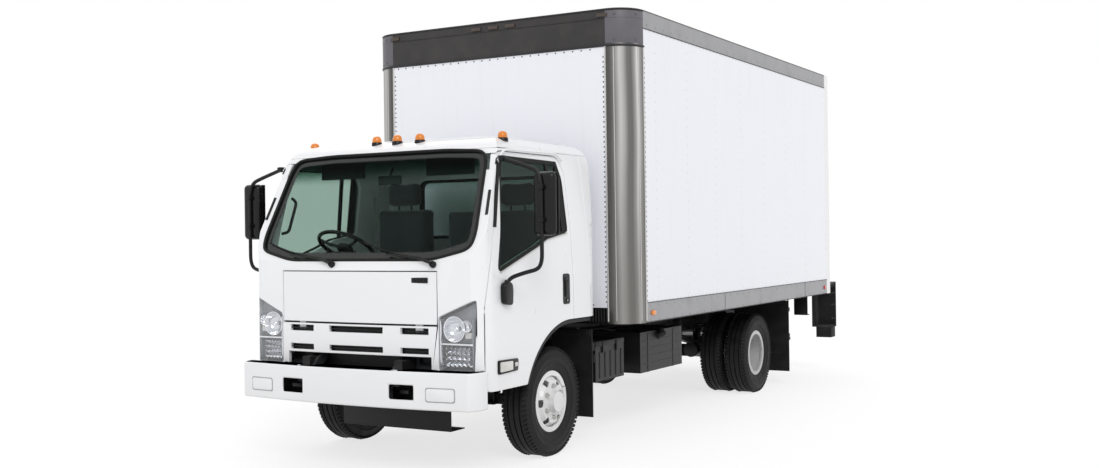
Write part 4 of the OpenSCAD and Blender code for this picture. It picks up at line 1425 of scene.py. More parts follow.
@dataclass
class Mirror:
    """One door mirror: a bent tube, a deep oval-ended head, its glass and its foot."""

    side: float

    def build(self) -> None:
        """Builds the unit in place of its construction node."""
        word = "left" if self.side > 0 else "right"
        body = f"door_{word}"
        pole = Solid()
        route = [
            (1.015, -0.742, 1.225), (1.030, -0.730, 1.285), (1.125, -0.712, 1.318),
            (1.240, -0.706, 1.345), (1.267, -0.706, 1.400), (1.267, -0.706, 1.905),
            (1.235, -0.704, 1.985), (1.150, -0.700, 2.015), (0.968, -0.690, 2.072),
        ]
        pole.tube(eased3(route, 0.045), 0.0135, 3)
        for z in (1.66, 1.875):
            pole.box((1.247, -0.728, z - 0.016), (1.287, -0.680, z + 0.016), 0.006)
        pole.box((0.945, -0.716, 2.055), (0.985, -0.664, 2.092), 0.008)
        pole.flip(self.side).piece(f"mirror_pole_{word}", body, TRIM, "trim_black", [f"mirror_{word}"])
        head = Solid().box((1.192, -0.694, 1.560), (1.352, -0.626, 1.975), 0.034, 5)
        for vert in head.bm.verts:
            crown = 1.0 - ((vert.co.z - 1.7675) / 0.2075) ** 2
            if vert.co.y < -0.66:
                vert.co.y -= 0.008 * crown
        head.box((1.188, -0.636, 1.563), (1.356, -0.622, 1.972), 0.006, 2)
        foot = eased([(-0.792, 1.120), (-0.690, 1.105), (-0.684, 1.215), (-0.700, 1.262), (-0.775, 1.262),
                      (-0.796, 1.240)], 0.03)
        head.plate(foot, Axis.X, 0.9985, 1.040, 0.012, 3)
        head.rod((1.018, -0.742, 1.245), (1.024, -0.738, 1.275), 0.022, 0.017, 20, 0.003)
        head.flip(self.side).piece(f"mirror_head_{word}", body, GLOSS_TRIM, "trim_black")
        glass = Solid().plate(eased(oblong(1.202, 1.342, 1.576, 1.960), 0.02),
                              Axis.Y, -0.6225, -0.6190, 0.001)
        glass.flip(self.side).piece(f"mirror_glass_{word}", body, MIRROR_FACE, "lamp_clear")


@dataclass
class DoorTrim:
    """What one door carries: seals, frame, divider, handle, side lamp and inner card."""

    side: float
    window: tuple[Flat, ...] = (
        (-0.80, 1.335), (-0.30, 1.490), (-0.16, 1.545), (0.13, 1.590), (0.13, 1.960), (0.07, 2.070),
        (-0.655, 2.070),
    )

    def skin(self, y: float, z: float, out: float = 0.0) -> Point:
        """A point on the door's skin."""
        return (flank(z) + out, y, z)

    def patch(self, outline: Sequence[Flat], thick: float, out: float = 0.0) -> Solid:
        """A thin plate that follows the door's skin."""
        solid = Solid().plate(outline, Axis.X, 0.0, thick, 0.0015, 1)
        for vert in solid.bm.verts:
            vert.co.x += flank(vert.co.z) + out - thick * 0.4
        return solid

    def build(self) -> None:
        """Builds every fitting on the door."""
        word = "left" if self.side > 0 else "right"
        body = f"door_{word}"
        edge = [self.skin(y, z, -0.003) for y, z in eased(self.window, 0.035)]
        seal = Solid().tube(edge, 0.011, 2, True)
        top = [(-0.72, 2.035), (-0.665, 2.062), (0.065, 2.062), (0.118, 1.965), (0.136, 1.965),
               (0.082, 2.088), (-0.655, 2.098), (-0.70, 2.075)]
        front = [(-0.835, 1.62), (-0.800, 1.62), (-0.668, 2.04), (-0.70, 2.055)]
        divider = [(-0.055, 1.556), (-0.022, 1.562), (-0.040, 2.07), (-0.073, 2.07)]
        back = [(0.062, 1.578), (0.138, 1.590), (0.138, 1.962), (0.078, 2.072), (0.062, 2.072)]
        for strip, thick, out in (
            (top, 0.010, 0.0), (front, 0.009, 0.0), (divider, 0.016, -0.006), (back, 0.013, -0.004),
        ):
            seal.join(self.patch(strip, thick, out))
        seal.flip(self.side).piece(f"window_frame_{word}", body, SEAL, "trim_black")
        ledge = ((-0.79, 1.325), (-0.30, 1.478), (-0.16, 1.532), (0.125, 1.577))
        lip = Solid().tube([self.skin(y, z, 0.006) for y, z in ledge], 0.0045, 2)
        lip.flip(self.side).piece(f"sill_strip_{word}", body, ZINC, "cab_white")
        self.handle(word, body)
        self.side_lamp(word, body)
        self.card(word, body)

    def handle(self, word: str, body: str) -> None:
        """An upright recessed pull with a grip and a key lock."""
        cup = eased(oblong(0.036, 0.128, 1.072, 1.288), 0.022)
        pull = self.patch(cup, 0.010)
        pull.box((1.002, 0.055, 1.125), (1.014, 0.108, 1.240), 0.006, 3)
        pull.box((1.002, 0.048, 1.240), (1.010, 0.116, 1.262), 0.004, 2)
        pull.rod((1.000, 0.082, 1.098), (1.011, 0.082, 1.098), 0.013, 0.012, 20, 0.002)
        pull.flip(self.side).piece(f"door_handle_{word}", body, GLOSS_TRIM, "trim_black")
        lock = Solid().rod((1.008, 0.082, 1.098), (1.0125, 0.082, 1.098), 0.007, 0.006, 16, 0.001)
        lock.flip(self.side).piece(f"key_lock_{word}", body, ZINC, "lamp_clear")

    def side_lamp(self, word: str, body: str) -> None:
        """A turn lamp low on the door's front: black frame, clear lens and small reflector."""
        rim = [(-0.835, 0.665), (-0.600, 0.672), (-0.592, 0.700), (-0.592, 0.752), (-0.835, 0.757)]
        frame_plate = Solid().plate(eased(rim, 0.014), Axis.X, 0.0, 0.016, 0.003, 2)
        cover = [(-0.818, 0.678), (-0.668, 0.682), (-0.668, 0.742), (-0.818, 0.744)]
        lens = Solid().plate(eased(cover, 0.012), Axis.X, 0.0, 0.012, 0.004, 2)
        reflector = [(-0.640, 0.700), (-0.606, 0.702), (-0.606, 0.728), (-0.640, 0.728)]
        lens.plate(reflector, Axis.X, 0.0, 0.011, 0.003, 2)
        for solid, out in ((frame_plate, -0.006), (lens, 0.004)):
            for vert in solid.bm.verts:
                vert.co.x += corner_x(vert.co.y) + out
        frame_plate.flip(self.side).piece(f"side_lamp_frame_{word}", body, GLOSS_TRIM, "trim_black")
        lens.flip(self.side).piece(f"side_lamp_lens_{word}", body, LAMP_SIDE, "lamp_clear")

    def card(self, word: str, body: str) -> None:
        """The inner trim card with its arm rest and pull."""
        inside = 0.948
        outline = [(-0.70, 1.00), (0.13, 0.96), (0.13, 1.52), (-0.16, 1.49), (-0.30, 1.43), (-0.70, 1.31)]
        card = Solid().plate(eased(outline, 0.04), Axis.X, inside - 0.010, inside, 0.004, 2)
        card.box((inside - 0.062, -0.52, 1.16), (inside - 0.008, 0.02, 1.21), 0.018, 3)
        pull = [(inside - 0.01, -0.42, 1.30), (inside - 0.05, -0.40, 1.305),
                (inside - 0.05, -0.22, 1.345), (inside - 0.01, -0.20, 1.35)]
        card.tube(eased3(pull, 0.03), 0.009, 2)
        card.flip(self.side).piece(f"door_card_{word}", body, INTERIOR, "interior_grey")


def corner_x(y: float) -> float:
    """How far out the cab's rounded front corner lies at a distance back, low down."""
    corner, centre = 0.24, -0.805
    return 1.0 if y > centre else 0.76 + math.sqrt(max(0.0, corner**2 - (centre - y) ** 2))


@dataclass
class RoofLamps:
    """Amber marker lamps on the roof's front edge."""

    places: tuple[Point, ...] = (
        (-0.83, -0.47, 2.221), (-0.19, -0.54, 2.234), (0.0, -0.55, 2.234), (0.19, -0.54, 2.234),
        (0.83, -0.47, 2.221),
    )

    def build(self) -> None:
        """Builds the domes, their ribs and their dark bases."""
        dome, base = Solid(), Solid()
        ring = [(0.0, 0.046), (0.012, 0.045), (0.023, 0.039), (0.031, 0.027), (0.034, 0.010), (0.034, 0.0),
                (0.0, 0.0)]
        for x, y, z in self.places:
            base.lathe([(0.0, 0.009), (0.035, 0.009), (0.038, 0.005), (0.039, -0.016), (0.0, -0.016)],
                       (x, y, z), Axis.Z, 32)
            dome.lathe(ring, (x, y, z + 0.0085), Axis.Z, 28)
        base.piece("marker_bases", "cab", GLOSS_TRIM, "trim_black", ["marker_lamps"])
        dome.piece("marker_domes", "cab", LAMP_AMBER, "lamp_amber")


@dataclass
class Pad:
    """A stuffed seat part: an eased block, swollen as cloth, with sewn channels."""

    name: str
    low: Point
    high: Point
    fill: float = 0.6
    cap: float = 0.022
    edge: float = 0.035
    cell: float = 0.045
    pressure: float = 4.0
    frames: int = 14
    channels: Flat = (0.26, 0.74)

    def build(self, stands_for: Sequence[str] = ()) -> bpy.types.Object:
        """Shapes, swells, sews and finishes the pad.

        Args:
            stands_for: Construction nodes that it replaces.

        Returns:
            The pad's object.
        """
        bm = bmesh.new()
        low, high = Vector(self.low), Vector(self.high)
        inset = Vector((self.cap, self.cap, self.cap)) * 0.5
        low, high = low + inset, high - inset
        size = high - low
        place = placed((low + high) / 2, Matrix.Diagonal((*size, 1.0)))
        bmesh.ops.create_cube(bm, size=1.0, matrix=place)
        round_edges(bm, bm.edges[:], self.edge, 3)
        for axis in range(3):
            cuts = max(2, round(size[axis] / self.cell))
            for k in range(1, cuts):
                spot = Vector(low)
                spot[axis] = low[axis] + size[axis] * k / cuts
                way = Vector((0.0, 0.0, 0.0))
                way[axis] = 1.0
                everything = bm.verts[:] + bm.edges[:] + bm.faces[:]
                bmesh.ops.bisect_plane(bm, geom=everything, plane_co=spot, plane_no=way)
        bmesh.ops.remove_doubles(bm, verts=bm.verts, dist=1e-4)
        bmesh.ops.triangulate(bm, faces=[f for f in bm.faces if len(f.verts) > 4])
        bmesh.ops.recalc_face_normals(bm, faces=bm.faces)
        bmesh.ops.translate(bm, verts=bm.verts, vec=(0.0, AXLE_Y, 0.0))
        mesh = bpy.data.meshes.new(self.name)
        bm.to_mesh(mesh)
        bm.free()
        made = adopt(mesh, self.name, "cab", [SEAT], stands_for, 60.0)
        self.swell(made)
        self.sew(made)
        soft = made.modifiers.new("soft", "SUBSURF")
        soft.levels = soft.render_levels = 1
        return made

    def swell(self, made: bpy.types.Object) -> None:
        """Blows the pad up as stuffed cloth and keeps every point near its start."""
        start = [v.co.copy() for v in made.data.vertices]
        cloth = made.modifiers.new("stuffing", "CLOTH")
        cloth.settings.use_pressure = True
        cloth.settings.uniform_pressure_force = self.pressure
        cloth.settings.quality = 4
        cloth.settings.effector_weights.gravity = 0.0
        scene = bpy.context.scene
        for step in range(1, self.frames + 1):
            scene.frame_set(step)
        shown = made.evaluated_get(bpy.context.evaluated_depsgraph_get())
        moved = [v.co.copy() for v in shown.to_mesh().vertices]
        shown.to_mesh_clear()
        made.modifiers.remove(cloth)
        for vert, a, b in zip(made.data.vertices, start, moved):
            shift = b - a
            vert.co = a + shift * min(1.0, self.cap * 0.5 / max(shift.length, 1e-9))
        scene.frame_set(1)

    def sew(self, made: bpy.types.Object) -> None:
        """Presses in the sewn channels and a shallow hollow between them."""
        low, high = Vector(self.low), Vector(self.high)
        low.y += AXLE_Y
        high.y += AXLE_Y
        size = high - low
        face = 2 if size.z < size.y * 2 and size.z < 0.4 else 1
        sign = 1.0 if face == 2 else -1.0
        for vert in made.data.vertices:
            share = Vector(((vert.co[k] - low[k]) / size[k] for k in range(3)))
            on_face = share[face] if sign > 0 else 1.0 - share[face]
            if on_face < 0.7:
                continue
            near = min(abs(share.x - seam) for seam in self.channels) * size.x
            seam_dip = 0.010 * math.exp(-((near / 0.012) ** 2))
            hollow = 0.012 * math.exp(-(((share.x - 0.5) / 0.2) ** 2))
            vert.co[face] -= sign * (seam_dip + hollow)


@dataclass
class Interior:
    """Seats, wheel, dash top, belts and handles inside the cab."""

    wheel_centre: Point = (-0.47, -0.56, 1.50)
    wheel_tilt: float = math.radians(32)

    def build(self) -> None:
        """Builds the inside in place of its plain solids."""
        pads = [
            Pad("driver_cushion", (-0.73, -0.42, 1.14), (-0.21, 0.11, 1.30), 0.7),
            Pad("driver_back", (-0.72, 0.09, 1.26), (-0.22, 0.25, 1.79), 0.65),
            Pad("passenger_cushion", (-0.07, -0.42, 1.14), (0.83, 0.11, 1.30), 0.7),
            Pad("passenger_back", (-0.06, 0.09, 1.26), (0.82, 0.25, 1.77), 0.65),
            Pad("driver_headrest", (-0.62, 0.10, 1.80), (-0.32, 0.21, 1.985), 0.8, 0.014),
            Pad("passenger_headrest", (0.42, 0.10, 1.78), (0.70, 0.21, 1.955), 0.8, 0.014),
        ]
        for k, pad in enumerate(pads):
            pad.build(["cab_seats"] if k == 0 else ())
        base = Solid()
        for low, high in ((-0.70, -0.24), (-0.04, 0.80)):
            base.box((low, -0.36, 1.061), (high, 0.10, 1.155), 0.012, 2)
            base.box((low - 0.012, 0.10, 1.10), (low + 0.018, 0.20, 1.36), 0.01, 2)
            base.box((high - 0.018, 0.10, 1.10), (high + 0.012, 0.20, 1.36), 0.01, 2)
        for x, z in ((-0.53, 1.77), (-0.41, 1.77), (0.50, 1.75), (0.62, 1.75)):
            base.rod((x, 0.16, z), (x, 0.155, z + 0.06), 0.006, sides=12)
        base.piece("seat_bases", "cab", INTERIOR, "interior_grey")
        self.dash()
        self.wheel()
        self.fittings()

    def dash(self) -> None:
        """The dash's rolled top, cowl over the dials, vents and centre stack."""
        top = Solid()
        outline = [(-1.0, 1.400), (-0.70, 1.382), (-0.665, 1.340), (-0.66, 1.300), (-0.72, 1.290),
                   (-0.99, 1.350)]
        top.plate(eased(outline, 0.02), Axis.X, -0.87, 0.87, 0.006, 2)
        for vert in top.bm.verts:
            vert.co.y = max(vert.co.y, nose(vert.co.x) + 0.045)
        cowl = [(-0.90, 1.385), (-0.70, 1.38), (-0.65, 1.42), (-0.67, 1.452), (-0.74, 1.456), (-0.88, 1.41)]
        top.plate(eased(cowl, 0.02), Axis.X, -0.68, -0.26, 0.012, 3)
        top.box((-0.16, -0.70, 1.19), (0.12, -0.64, 1.38), 0.015, 3)
        top.piece("dash_top", "cab", INTERIOR, "interior_grey")
        vents = Solid()
        for x in (-0.80, -0.13, 0.09, 0.76):
            for k in range(4):
                z = 1.315 + k * 0.011
                vents.box((x - 0.045, -0.668, z), (x + 0.045, -0.655, z + 0.005), 0.001, 1)
        vents.box((-0.11, -0.645, 1.27), (0.07, -0.636, 1.305), 0.003)
        for x in (-0.08, -0.02, 0.04):
            vents.rod((x, -0.642, 1.235), (x, -0.626, 1.235), 0.014, 0.012, 18, 0.002)
        vents.piece("dash_vents", "cab", GLOSS_TRIM, "trim_black")

    def wheel(self) -> None:
        """The steering wheel's soft rim, three dished spokes and its pad."""
        turn = placed(self.wheel_centre, Matrix.Rotation(-self.wheel_tilt, 4, "X"))
        solid = Solid()
        angles = [FULL_TURN * k / 56 for k in range(56)]
        solid.tube([(0.205 * math.cos(a), 0.205 * math.sin(a), 0.0) for a in angles], 0.0145, 3, True)
        for k in range(3):
            a = math.radians(90 + 120 * k)
            dish = ((0.03, -0.012), (0.12, -0.018), (0.198, 0.0))
            spoke = [(r * math.cos(a), r * math.sin(a), z) for r, z in dish]
            solid.tube(eased3(spoke, 0.04), 0.012, 2)
        horn = [(0.0, 0.008), (0.040, 0.006), (0.058, -0.004), (0.060, -0.030), (0.045, -0.042),
                (0.0, -0.042)]
        solid.lathe(horn, (0, 0, 0), Axis.Z, 40)
        solid.rod((0, 0, -0.04), (0, 0, -0.285), 0.020, 0.020, 24, 0.002)
        bmesh.ops.transform(solid.bm, matrix=turn, verts=solid.bm.verts)
        solid.piece("steering_wheel_rim", "steering_wheel", GLOSS_TRIM, "trim_black", ["steering_wheel"])
        sleeve = [(0.026, -0.10), (0.040, -0.11), (0.050, -0.20), (0.056, -0.30), (0.026, -0.30)]
        shroud = Solid().lathe(sleeve, (0, 0, 0), Axis.Z, 32)
        for side in (-1, 1):
            shroud.rod((side * 0.03, 0.0, -0.115), (side * 0.165, 0.02, -0.075), 0.007, 0.009, 12, 0.002)
        bmesh.ops.transform(shroud.bm, matrix=turn, verts=shroud.bm.verts)
        shroud.piece("column_shroud", "cab", INTERIOR, "interior_grey")

    def fittings(self) -> None:
        """Belts, screen-pillar grab handles, sun visors and the inner mirror."""
        belt = Solid()
        for x, way in ((-0.79, 1), (0.86, -1)):
            for start, end, y, low, high in ((x, x, 0.20, 1.15, 1.90), (x, x + way * 0.03, 0.18, 1.90, 1.95)):
                near = (min(start, end) - 0.023, y - 0.002, low)
                belt.box(near, (max(start, end) + 0.023, y + 0.002, high), 0.001, 1)
        belt.piece("seat_belts", "cab", WEBBING, "interior_grey")
        grab = Solid()
        for side in (-1, 1):
            x = side * 0.905
            bar = [(x, -0.76, 1.60), (x - side * 0.045, -0.735, 1.61), (x - side * 0.052, -0.655, 1.83),
                   (x - side * 0.012, -0.66, 1.86)]
            grab.tube(eased3(bar, 0.03), 0.011, 2)
        grab.box((-0.09, -0.665, 1.93), (0.11, -0.645, 1.995), 0.012, 3)
        grab.rod((0.01, -0.655, 1.99), (0.01, -0.62, 2.05), 0.007, sides=12)
        for x in (-0.66, 0.28):
            grab.box((x, -0.600, 1.985), (x + 0.40, -0.585, 2.115), 0.006, 2)
        grab.piece("cab_fittings", "cab", INTERIOR, "interior_grey")
        glass = Solid().box((-0.08, -0.6435, 1.938), (0.10, -0.642, 1.988), 0.0005, 1)
        glass.piece("inner_mirror_glass", "cab", MIRROR_FACE, "lamp_clear")


# ------------------------------------------------------------------ load body


@dataclass
class BoxTrim:
    """Rivets, edge lines, post trims, cap details, rail bolts and markers."""

    front: float = 0.729
    side: float = 1.219
    frame_y: float = 5.542
    wall_low: float = 1.036
    wall_high: float = 3.140
    post_r: float = 0.215
    pitch: float = 0.076

    def head(self, solid: Solid) -> None:
        """One low dome-headed rivet that points along +Z."""
        solid.rod((0, 0, -0.001), (0, 0, 0.0022), 0.0075, 0.0045, 8)

    def build(self) -> None:
        """Builds all of the trim."""
        places = []
        columns = [1.155 + 0.61 * k for k in range(7)] + [5.515]
        count = int((self.wall_high - self.wall_low - 0.05) / self.pitch)
        for y in columns:
            for k in range(count):
                places.append(placed((self.side, y, self.wall_low + 0.035 + self.pitch * k), TO_SIDE))
        for k in range(int((self.frame_y - 0.97) / self.pitch)):
            for z in (self.wall_low + 0.012, self.wall_high - 0.012):
                places.append(placed((self.side, 0.99 + self.pitch * k, z), TO_SIDE))
        side_rivets = Solid().stamp(places, self.head).mirror()
        side_rivets.piece("side_rivets", "chassis", WALL_RIVET, "rail_aluminium")
        places = []
        fine = self.pitch / 2
        for k in range(int((2.98 - 1.05) / fine)):
            z = 1.05 + fine * k
            places.extend(placed((x, self.front, z), TO_FRONT) for x in (-0.985, 0.985))
            for side in (LEFT, RIGHT):
                turn = Matrix.Rotation(side * math.pi / 2, 4, "Y")
                places.append(placed((side * self.side, 0.962, z), turn))
        for z in (1.025, 2.975):
            for k in range(int(1.94 / self.pitch)):
                places.append(placed((-0.95 + self.pitch * k, self.front, z), TO_FRONT))
        Solid().stamp(places, self.head).piece("front_rivets", "chassis", RIVET, "rail_aluminium")
        self.posts()
        self.cap()
        self.rails()

    def round_post(self, out: float, angles: Sequence[float]) -> list[Flat]:
        """Points round the left post.

        Args:
            out: How far outside the post's face they lie.
            angles: Angle of each point, from the front round to the side.

        Returns:
            The points, across and back.
        """
        x, y, radius = self.side - self.post_r, self.front + self.post_r, self.post_r + out
        return [(x + radius * math.sin(a), y - radius * math.cos(a)) for a in angles]

    def posts(self) -> None:
        """Raised beads where each post meets the walls."""
        bead = Solid()
        x = self.side - self.post_r
        for px, py in ((x - 0.002, self.front - 0.001), (self.side + 0.001, self.front + self.post_r)):
            bead.tube([(px, py, 0.90), (px, py, 2.99)], 0.0065, 2)
        for angle in (0.30, 1.27):
            px = x + (self.post_r + 0.0005) * math.cos(angle)
            py = self.front + self.post_r - (self.post_r + 0.0005) * math.sin(angle)
            bead.tube([(px, py, 0.905), (px, py, 2.985)], 0.0035, 2)
        bead.mirror().piece("post_beads", "chassis", ZINC, "post_steel")

    def cap(self) -> None:
        """The cap's rolled lips, its corner castings and its clearance lamps."""
        y = self.front + self.post_r
        arc = self.round_post(0.001, [math.pi / 2 * k / 12 for k in range(13)])
        path = [(0.0, self.front - 0.001), *arc, (self.side + 0.001, y + 0.005)]
        lips = Solid()
        for z, radius in ((2.998, 0.010), (3.272, 0.007), (3.205, 0.0035)):
            lips.tube([(px, py, z) for px, py in path], radius, 2)
        lips.mirror().piece("cap_lips", "chassis", CAP_EDGE, "cap_grey")
        casting = Solid()
        steps = [math.pi / 2 * k / 14 for k in range(15)]
        outer = self.round_post(0.004, steps)
        inner = self.round_post(-0.004, list(reversed(steps)))
        casting.plate(outer + inner, Axis.Z, 3.012, 3.262, 0.003)
        for px, py in self.round_post(0.004, (0.35, 1.15)):
            casting.ball((px, py, 3.04), (0.009, 0.009, 0.009), 12)
            casting.ball((px, py, 3.235), (0.009, 0.009, 0.009), 12)
        casting.mirror().piece("cap_castings", "chassis", CASTING, "cap_grey")
        lamps = Solid()
        for lx in (-0.98, -0.16, 0.0, 0.16, 0.98):
            low, high = (lx - 0.045, self.front - 0.012, 3.215), (lx + 0.045, self.front + 0.002, 3.245)
            lamps.box(low, high, 0.006, 2)
        lamps.piece("cap_lamps", "chassis", LAMP_SMOKE, "lamp_amber")

    def rails(self) -> None:
        """Bolts, joints, dark edge lines and amber side markers on the rails."""
        bolts = Solid()
        spots = [(1.02 + 0.152 * k, z) for k in range(30) for z in (0.905, 1.012)]
        spots += [(1.02 + 0.152 * k, 3.175) for k in range(30)]
        places = [placed((self.side, y, z), TO_SIDE) for y, z in spots]
        bolts.stamp(places, lambda s: s.rod((0, 0, -0.001), (0, 0, 0.004), 0.009, 0.007, 6))
        bolts.mirror().piece("rail_bolts", "chassis", RAIL, "rail_aluminium")
        edge = Solid()
        for z, radius in ((1.036, 0.0035), (3.139, 0.0045), (0.886, 0.004)):
            edge.tube([(self.side + 0.0005, 0.945, z), (self.side + 0.0005, self.frame_y, z)], radius, 2)
        edge.box((self.side - 0.02, 0.945, 3.272), (self.side + 0.003, self.frame_y, 3.279), 0.002, 1)
        for y in (2.55, 4.78):
            edge.box((self.side - 0.002, y, 0.884), (self.side + 0.002, y + 0.006, 1.036), 0.001, 1)
        edge.mirror().piece("rail_edges", "chassis", RAIL_EDGE, "rail_aluminium")
        for name, finish, y in (("side_markers", LAMP_AMBER, 1.06), ("rear_side_markers", LAMP_RED, 5.46)):
            outline = eased(oblong(y - 0.036, y + 0.036, 0.935, 0.972), 0.015)
            lamp = Solid().plate(outline, Axis.X, self.side - 0.001, self.side + 0.013, 0.005, 2)
            lamp.mirror().piece(name, "chassis", finish, "lamp_amber")
        ribs = Solid()
        for k in range(15):
            x = 0.99 - 0.024 * k
            ribs.box((x - 0.007, self.front - 0.008, 0.894), (x + 0.007, self.front + 0.006, 0.995), 0.003, 1)
        for x in (-1.0, 1.0):
            ribs.box((min(x, 0), self.front - 0.003, 0.888), (max(x, 0), self.front + 0.004, 1.005), 0.002, 1)
        ribs.mirror().piece("front_sill_ribs", "chassis", SILL, "floor_dark")


@dataclass
class RearEnd:
    """What the closed rear carries: door hardware, lamps, plate and steps."""

    rear: float = 5.663

    def build(self) -> None:
        """Builds the rear end's fittings."""
        steel, dark = Solid(), Solid()
        face = 5.600
        for row in range(6):
            z = 1.26 + 0.335 * row
            for x in (-0.95, -0.32, 0.32, 0.95):
                low, high = (x - 0.035, face - 0.001, z - 0.045), (x + 0.035, face + 0.005, z + 0.045)
                steel.box(low, high, 0.002, 1)
                steel.rod((x - 0.03, face + 0.008, z), (x + 0.03, face + 0.008, z), 0.007, sides=10)
            dark.box((-1.09, face - 0.002, z - 0.004), (1.09, face + 0.002, z + 0.004), 0.001, 1)
        steel.box((-0.06, face, 1.20), (0.06, face + 0.010, 1.36), 0.004, 2)
        bend = ((-0.035, 0.008), (-0.035, 0.045), (0.035, 0.045), (0.035, 0.008))
        pull = [(x, face + out, 1.30) for x, out in bend]
        steel.tube(eased3(pull, 0.02), 0.007, 2)
        steel.box((-0.20, face, 1.125), (0.20, face + 0.012, 1.165), 0.004, 2)
        steel.piece("roll_door_hardware", "chassis", ZINC, "lamp_clear")
        dark.box((-1.10, face - 0.002, 1.078), (1.10, face + 0.012, 1.100), 0.004, 2)
        dark.piece("roll_door_seals", "chassis", SEAL, "flap_rubber")
        red = Solid()
        for x in (-0.20, 0.0, 0.20, -1.02, 1.02):
            red.box((x - 0.055, self.rear - 0.002, 3.205), (x + 0.055, self.rear + 0.010, 3.235), 0.005, 2)
        for x in (-1.155, 1.155):
            for z in (0.72, 0.60):
                red.lathe([(0.0, 0.014), (0.03, 0.012), (0.045, 0.006), (0.050, -0.002), (0.0, -0.002)],
                          (x - math.copysign(0.03, x), 5.878, z), Axis.Y, 32)
        red.piece("tail_lamps", "chassis", LAMP_RED, "lamp_amber")
        clear = Solid()
        for x in (-1.155, 1.155):
            clear.lathe([(0.0, 0.013), (0.03, 0.011), (0.040, 0.005), (0.043, -0.002), (0.0, -0.002)],
                        (x - math.copysign(0.03, x), 5.878, 0.845), Axis.Y, 32)
        clear.piece("reversing_lamps", "chassis", LAMP_SIDE, "lamp_clear")
        plate = Solid().box((-0.155, self.rear + 0.214, 0.888), (0.155, self.rear + 0.2175, 0.962), 0.002, 1)
        plate.piece("blank_rear_plate", "chassis", WHEEL_WHITE, "cab_white")
        posts = Solid()
        for k in range(7):
            x = 1.025 + 0.028 * k
            posts.box((x - 0.004, 5.874, 0.53), (x + 0.004, 5.884, 0.94), 0.002, 1)
        for z in (0.43, 0.455):
            posts.box((1.05, 5.73, z - 0.004), (1.20, 5.880, z + 0.004), 0.002, 1)
        for y in (5.72, 5.80):
            for z in (0.60, 0.75, 0.88):
                posts.rod((1.215, y, z), (1.222, y, z), 0.011, 0.010, 6, 0.001)
        posts.mirror()
        for k in range(18):
            x = -0.95 + 0.112 * k
            posts.box((x - 0.03, 5.70, 0.9695), (x + 0.03, 5.86, 0.9725), 0.001, 1)
        posts.piece("dock_post_ribs", "chassis", CHASSIS, "chassis_black")
        treads = Solid()
        for k in range(11):
            y = 5.04 + 0.056 * k
            treads.box((-0.70, y - 0.006, 0.346), (0.70, y + 0.006, 0.3505), 0.001, 1)
        treads.piece("platform_ribs", "lift_platform", CHASSIS, "chassis_black")
        bracket = Solid().box((0.83, 5.575, 0.64), (0.985, 5.590, 0.88), 0.004, 2)
        bracket.box((0.83, 5.59, 0.635), (0.98, 5.66, 0.645), 0.003, 1).mirror()
        bracket.piece("rear_rail_brackets", "chassis", CHASSIS, "chassis_black")
        route = [(0.78, 5.56, 0.86), (0.76, 5.52, 0.70), (0.70, 5.50, 0.585), (0.60, 5.50, 0.60),
                 (0.55, 5.52, 0.74), (0.54, 5.53, 0.86)]
        loop = Solid().tube(eased3(route, 0.06), 0.007, 2)
        loop.piece("lift_supply_hose", "chassis", SEAL, "flap_rubber")


# ------------------------------------------------------------------ wheels and underbody


@dataclass
class Tyre:
    """A road tyre: closed section, shoulder blocks, grooves and side ribs."""

    x: float
    y: float
    radius: float = WHEEL_RADIUS
    bead: float = 0.2045
    width: float = 0.216
    blocks: int = 72

    def shape(self, solid: Solid) -> Solid:
        """Adds the tyre about its own middle to a solid."""
        half, r = self.width / 2, self.radius
        side = [
            (self.bead, half - 0.036), (self.bead + 0.012, half - 0.029), (self.bead + 0.030, half - 0.018),
            (self.bead + 0.036, half - 0.019), (0.272, half - 0.006), (0.276, half - 0.0025),
            (0.281, half - 0.004), (0.315, half - 0.0005), (0.319, half + 0.0012), (0.324, half - 0.002),
            (0.350, half - 0.008), (0.368, half - 0.018), (r - 0.009, half - 0.026),
        ]
        tread = [(r - 0.003, half - 0.030)]
        for groove in (0.046, 0.0, -0.046):
            dips = ((0.001, 0.006), (0.013, 0.0045), (0.013, -0.0045), (0.001, -0.006))
            tread += [(r - depth, groove + off) for depth, off in dips]
        tread += [(r - 0.003, -(half - 0.030))]
        profile = side + tread + [(a, -b) for a, b in reversed(side)]
        return solid.lathe(profile, (self.x, self.y, self.radius), Axis.X, 96)

    def lugs(self, solid: Solid) -> Solid:
        """Adds the shoulder blocks and the sipes between them."""
        r, half = self.radius, self.width / 2
        places = []
        for k in range(self.blocks):
            turn = Matrix.Rotation(FULL_TURN * k / self.blocks, 4, "X")
            for side in (-1.0, 1.0):
                tilt = Matrix.Rotation(side * 0.28, 4, "Z")
                spot = Matrix.Translation(Vector((side * (half - 0.026), 0.0, r - 0.010)))
                lean = Matrix.Rotation(side * 0.42, 4, "Y")
                places.append(placed((self.x, self.y, self.radius), turn) @ spot @ lean @ tilt)
        solid.stamp(places, lambda s: s.box((-0.017, -0.0105, -0.008), (0.017, 0.0105, 0.0085), 0.0))
        return solid


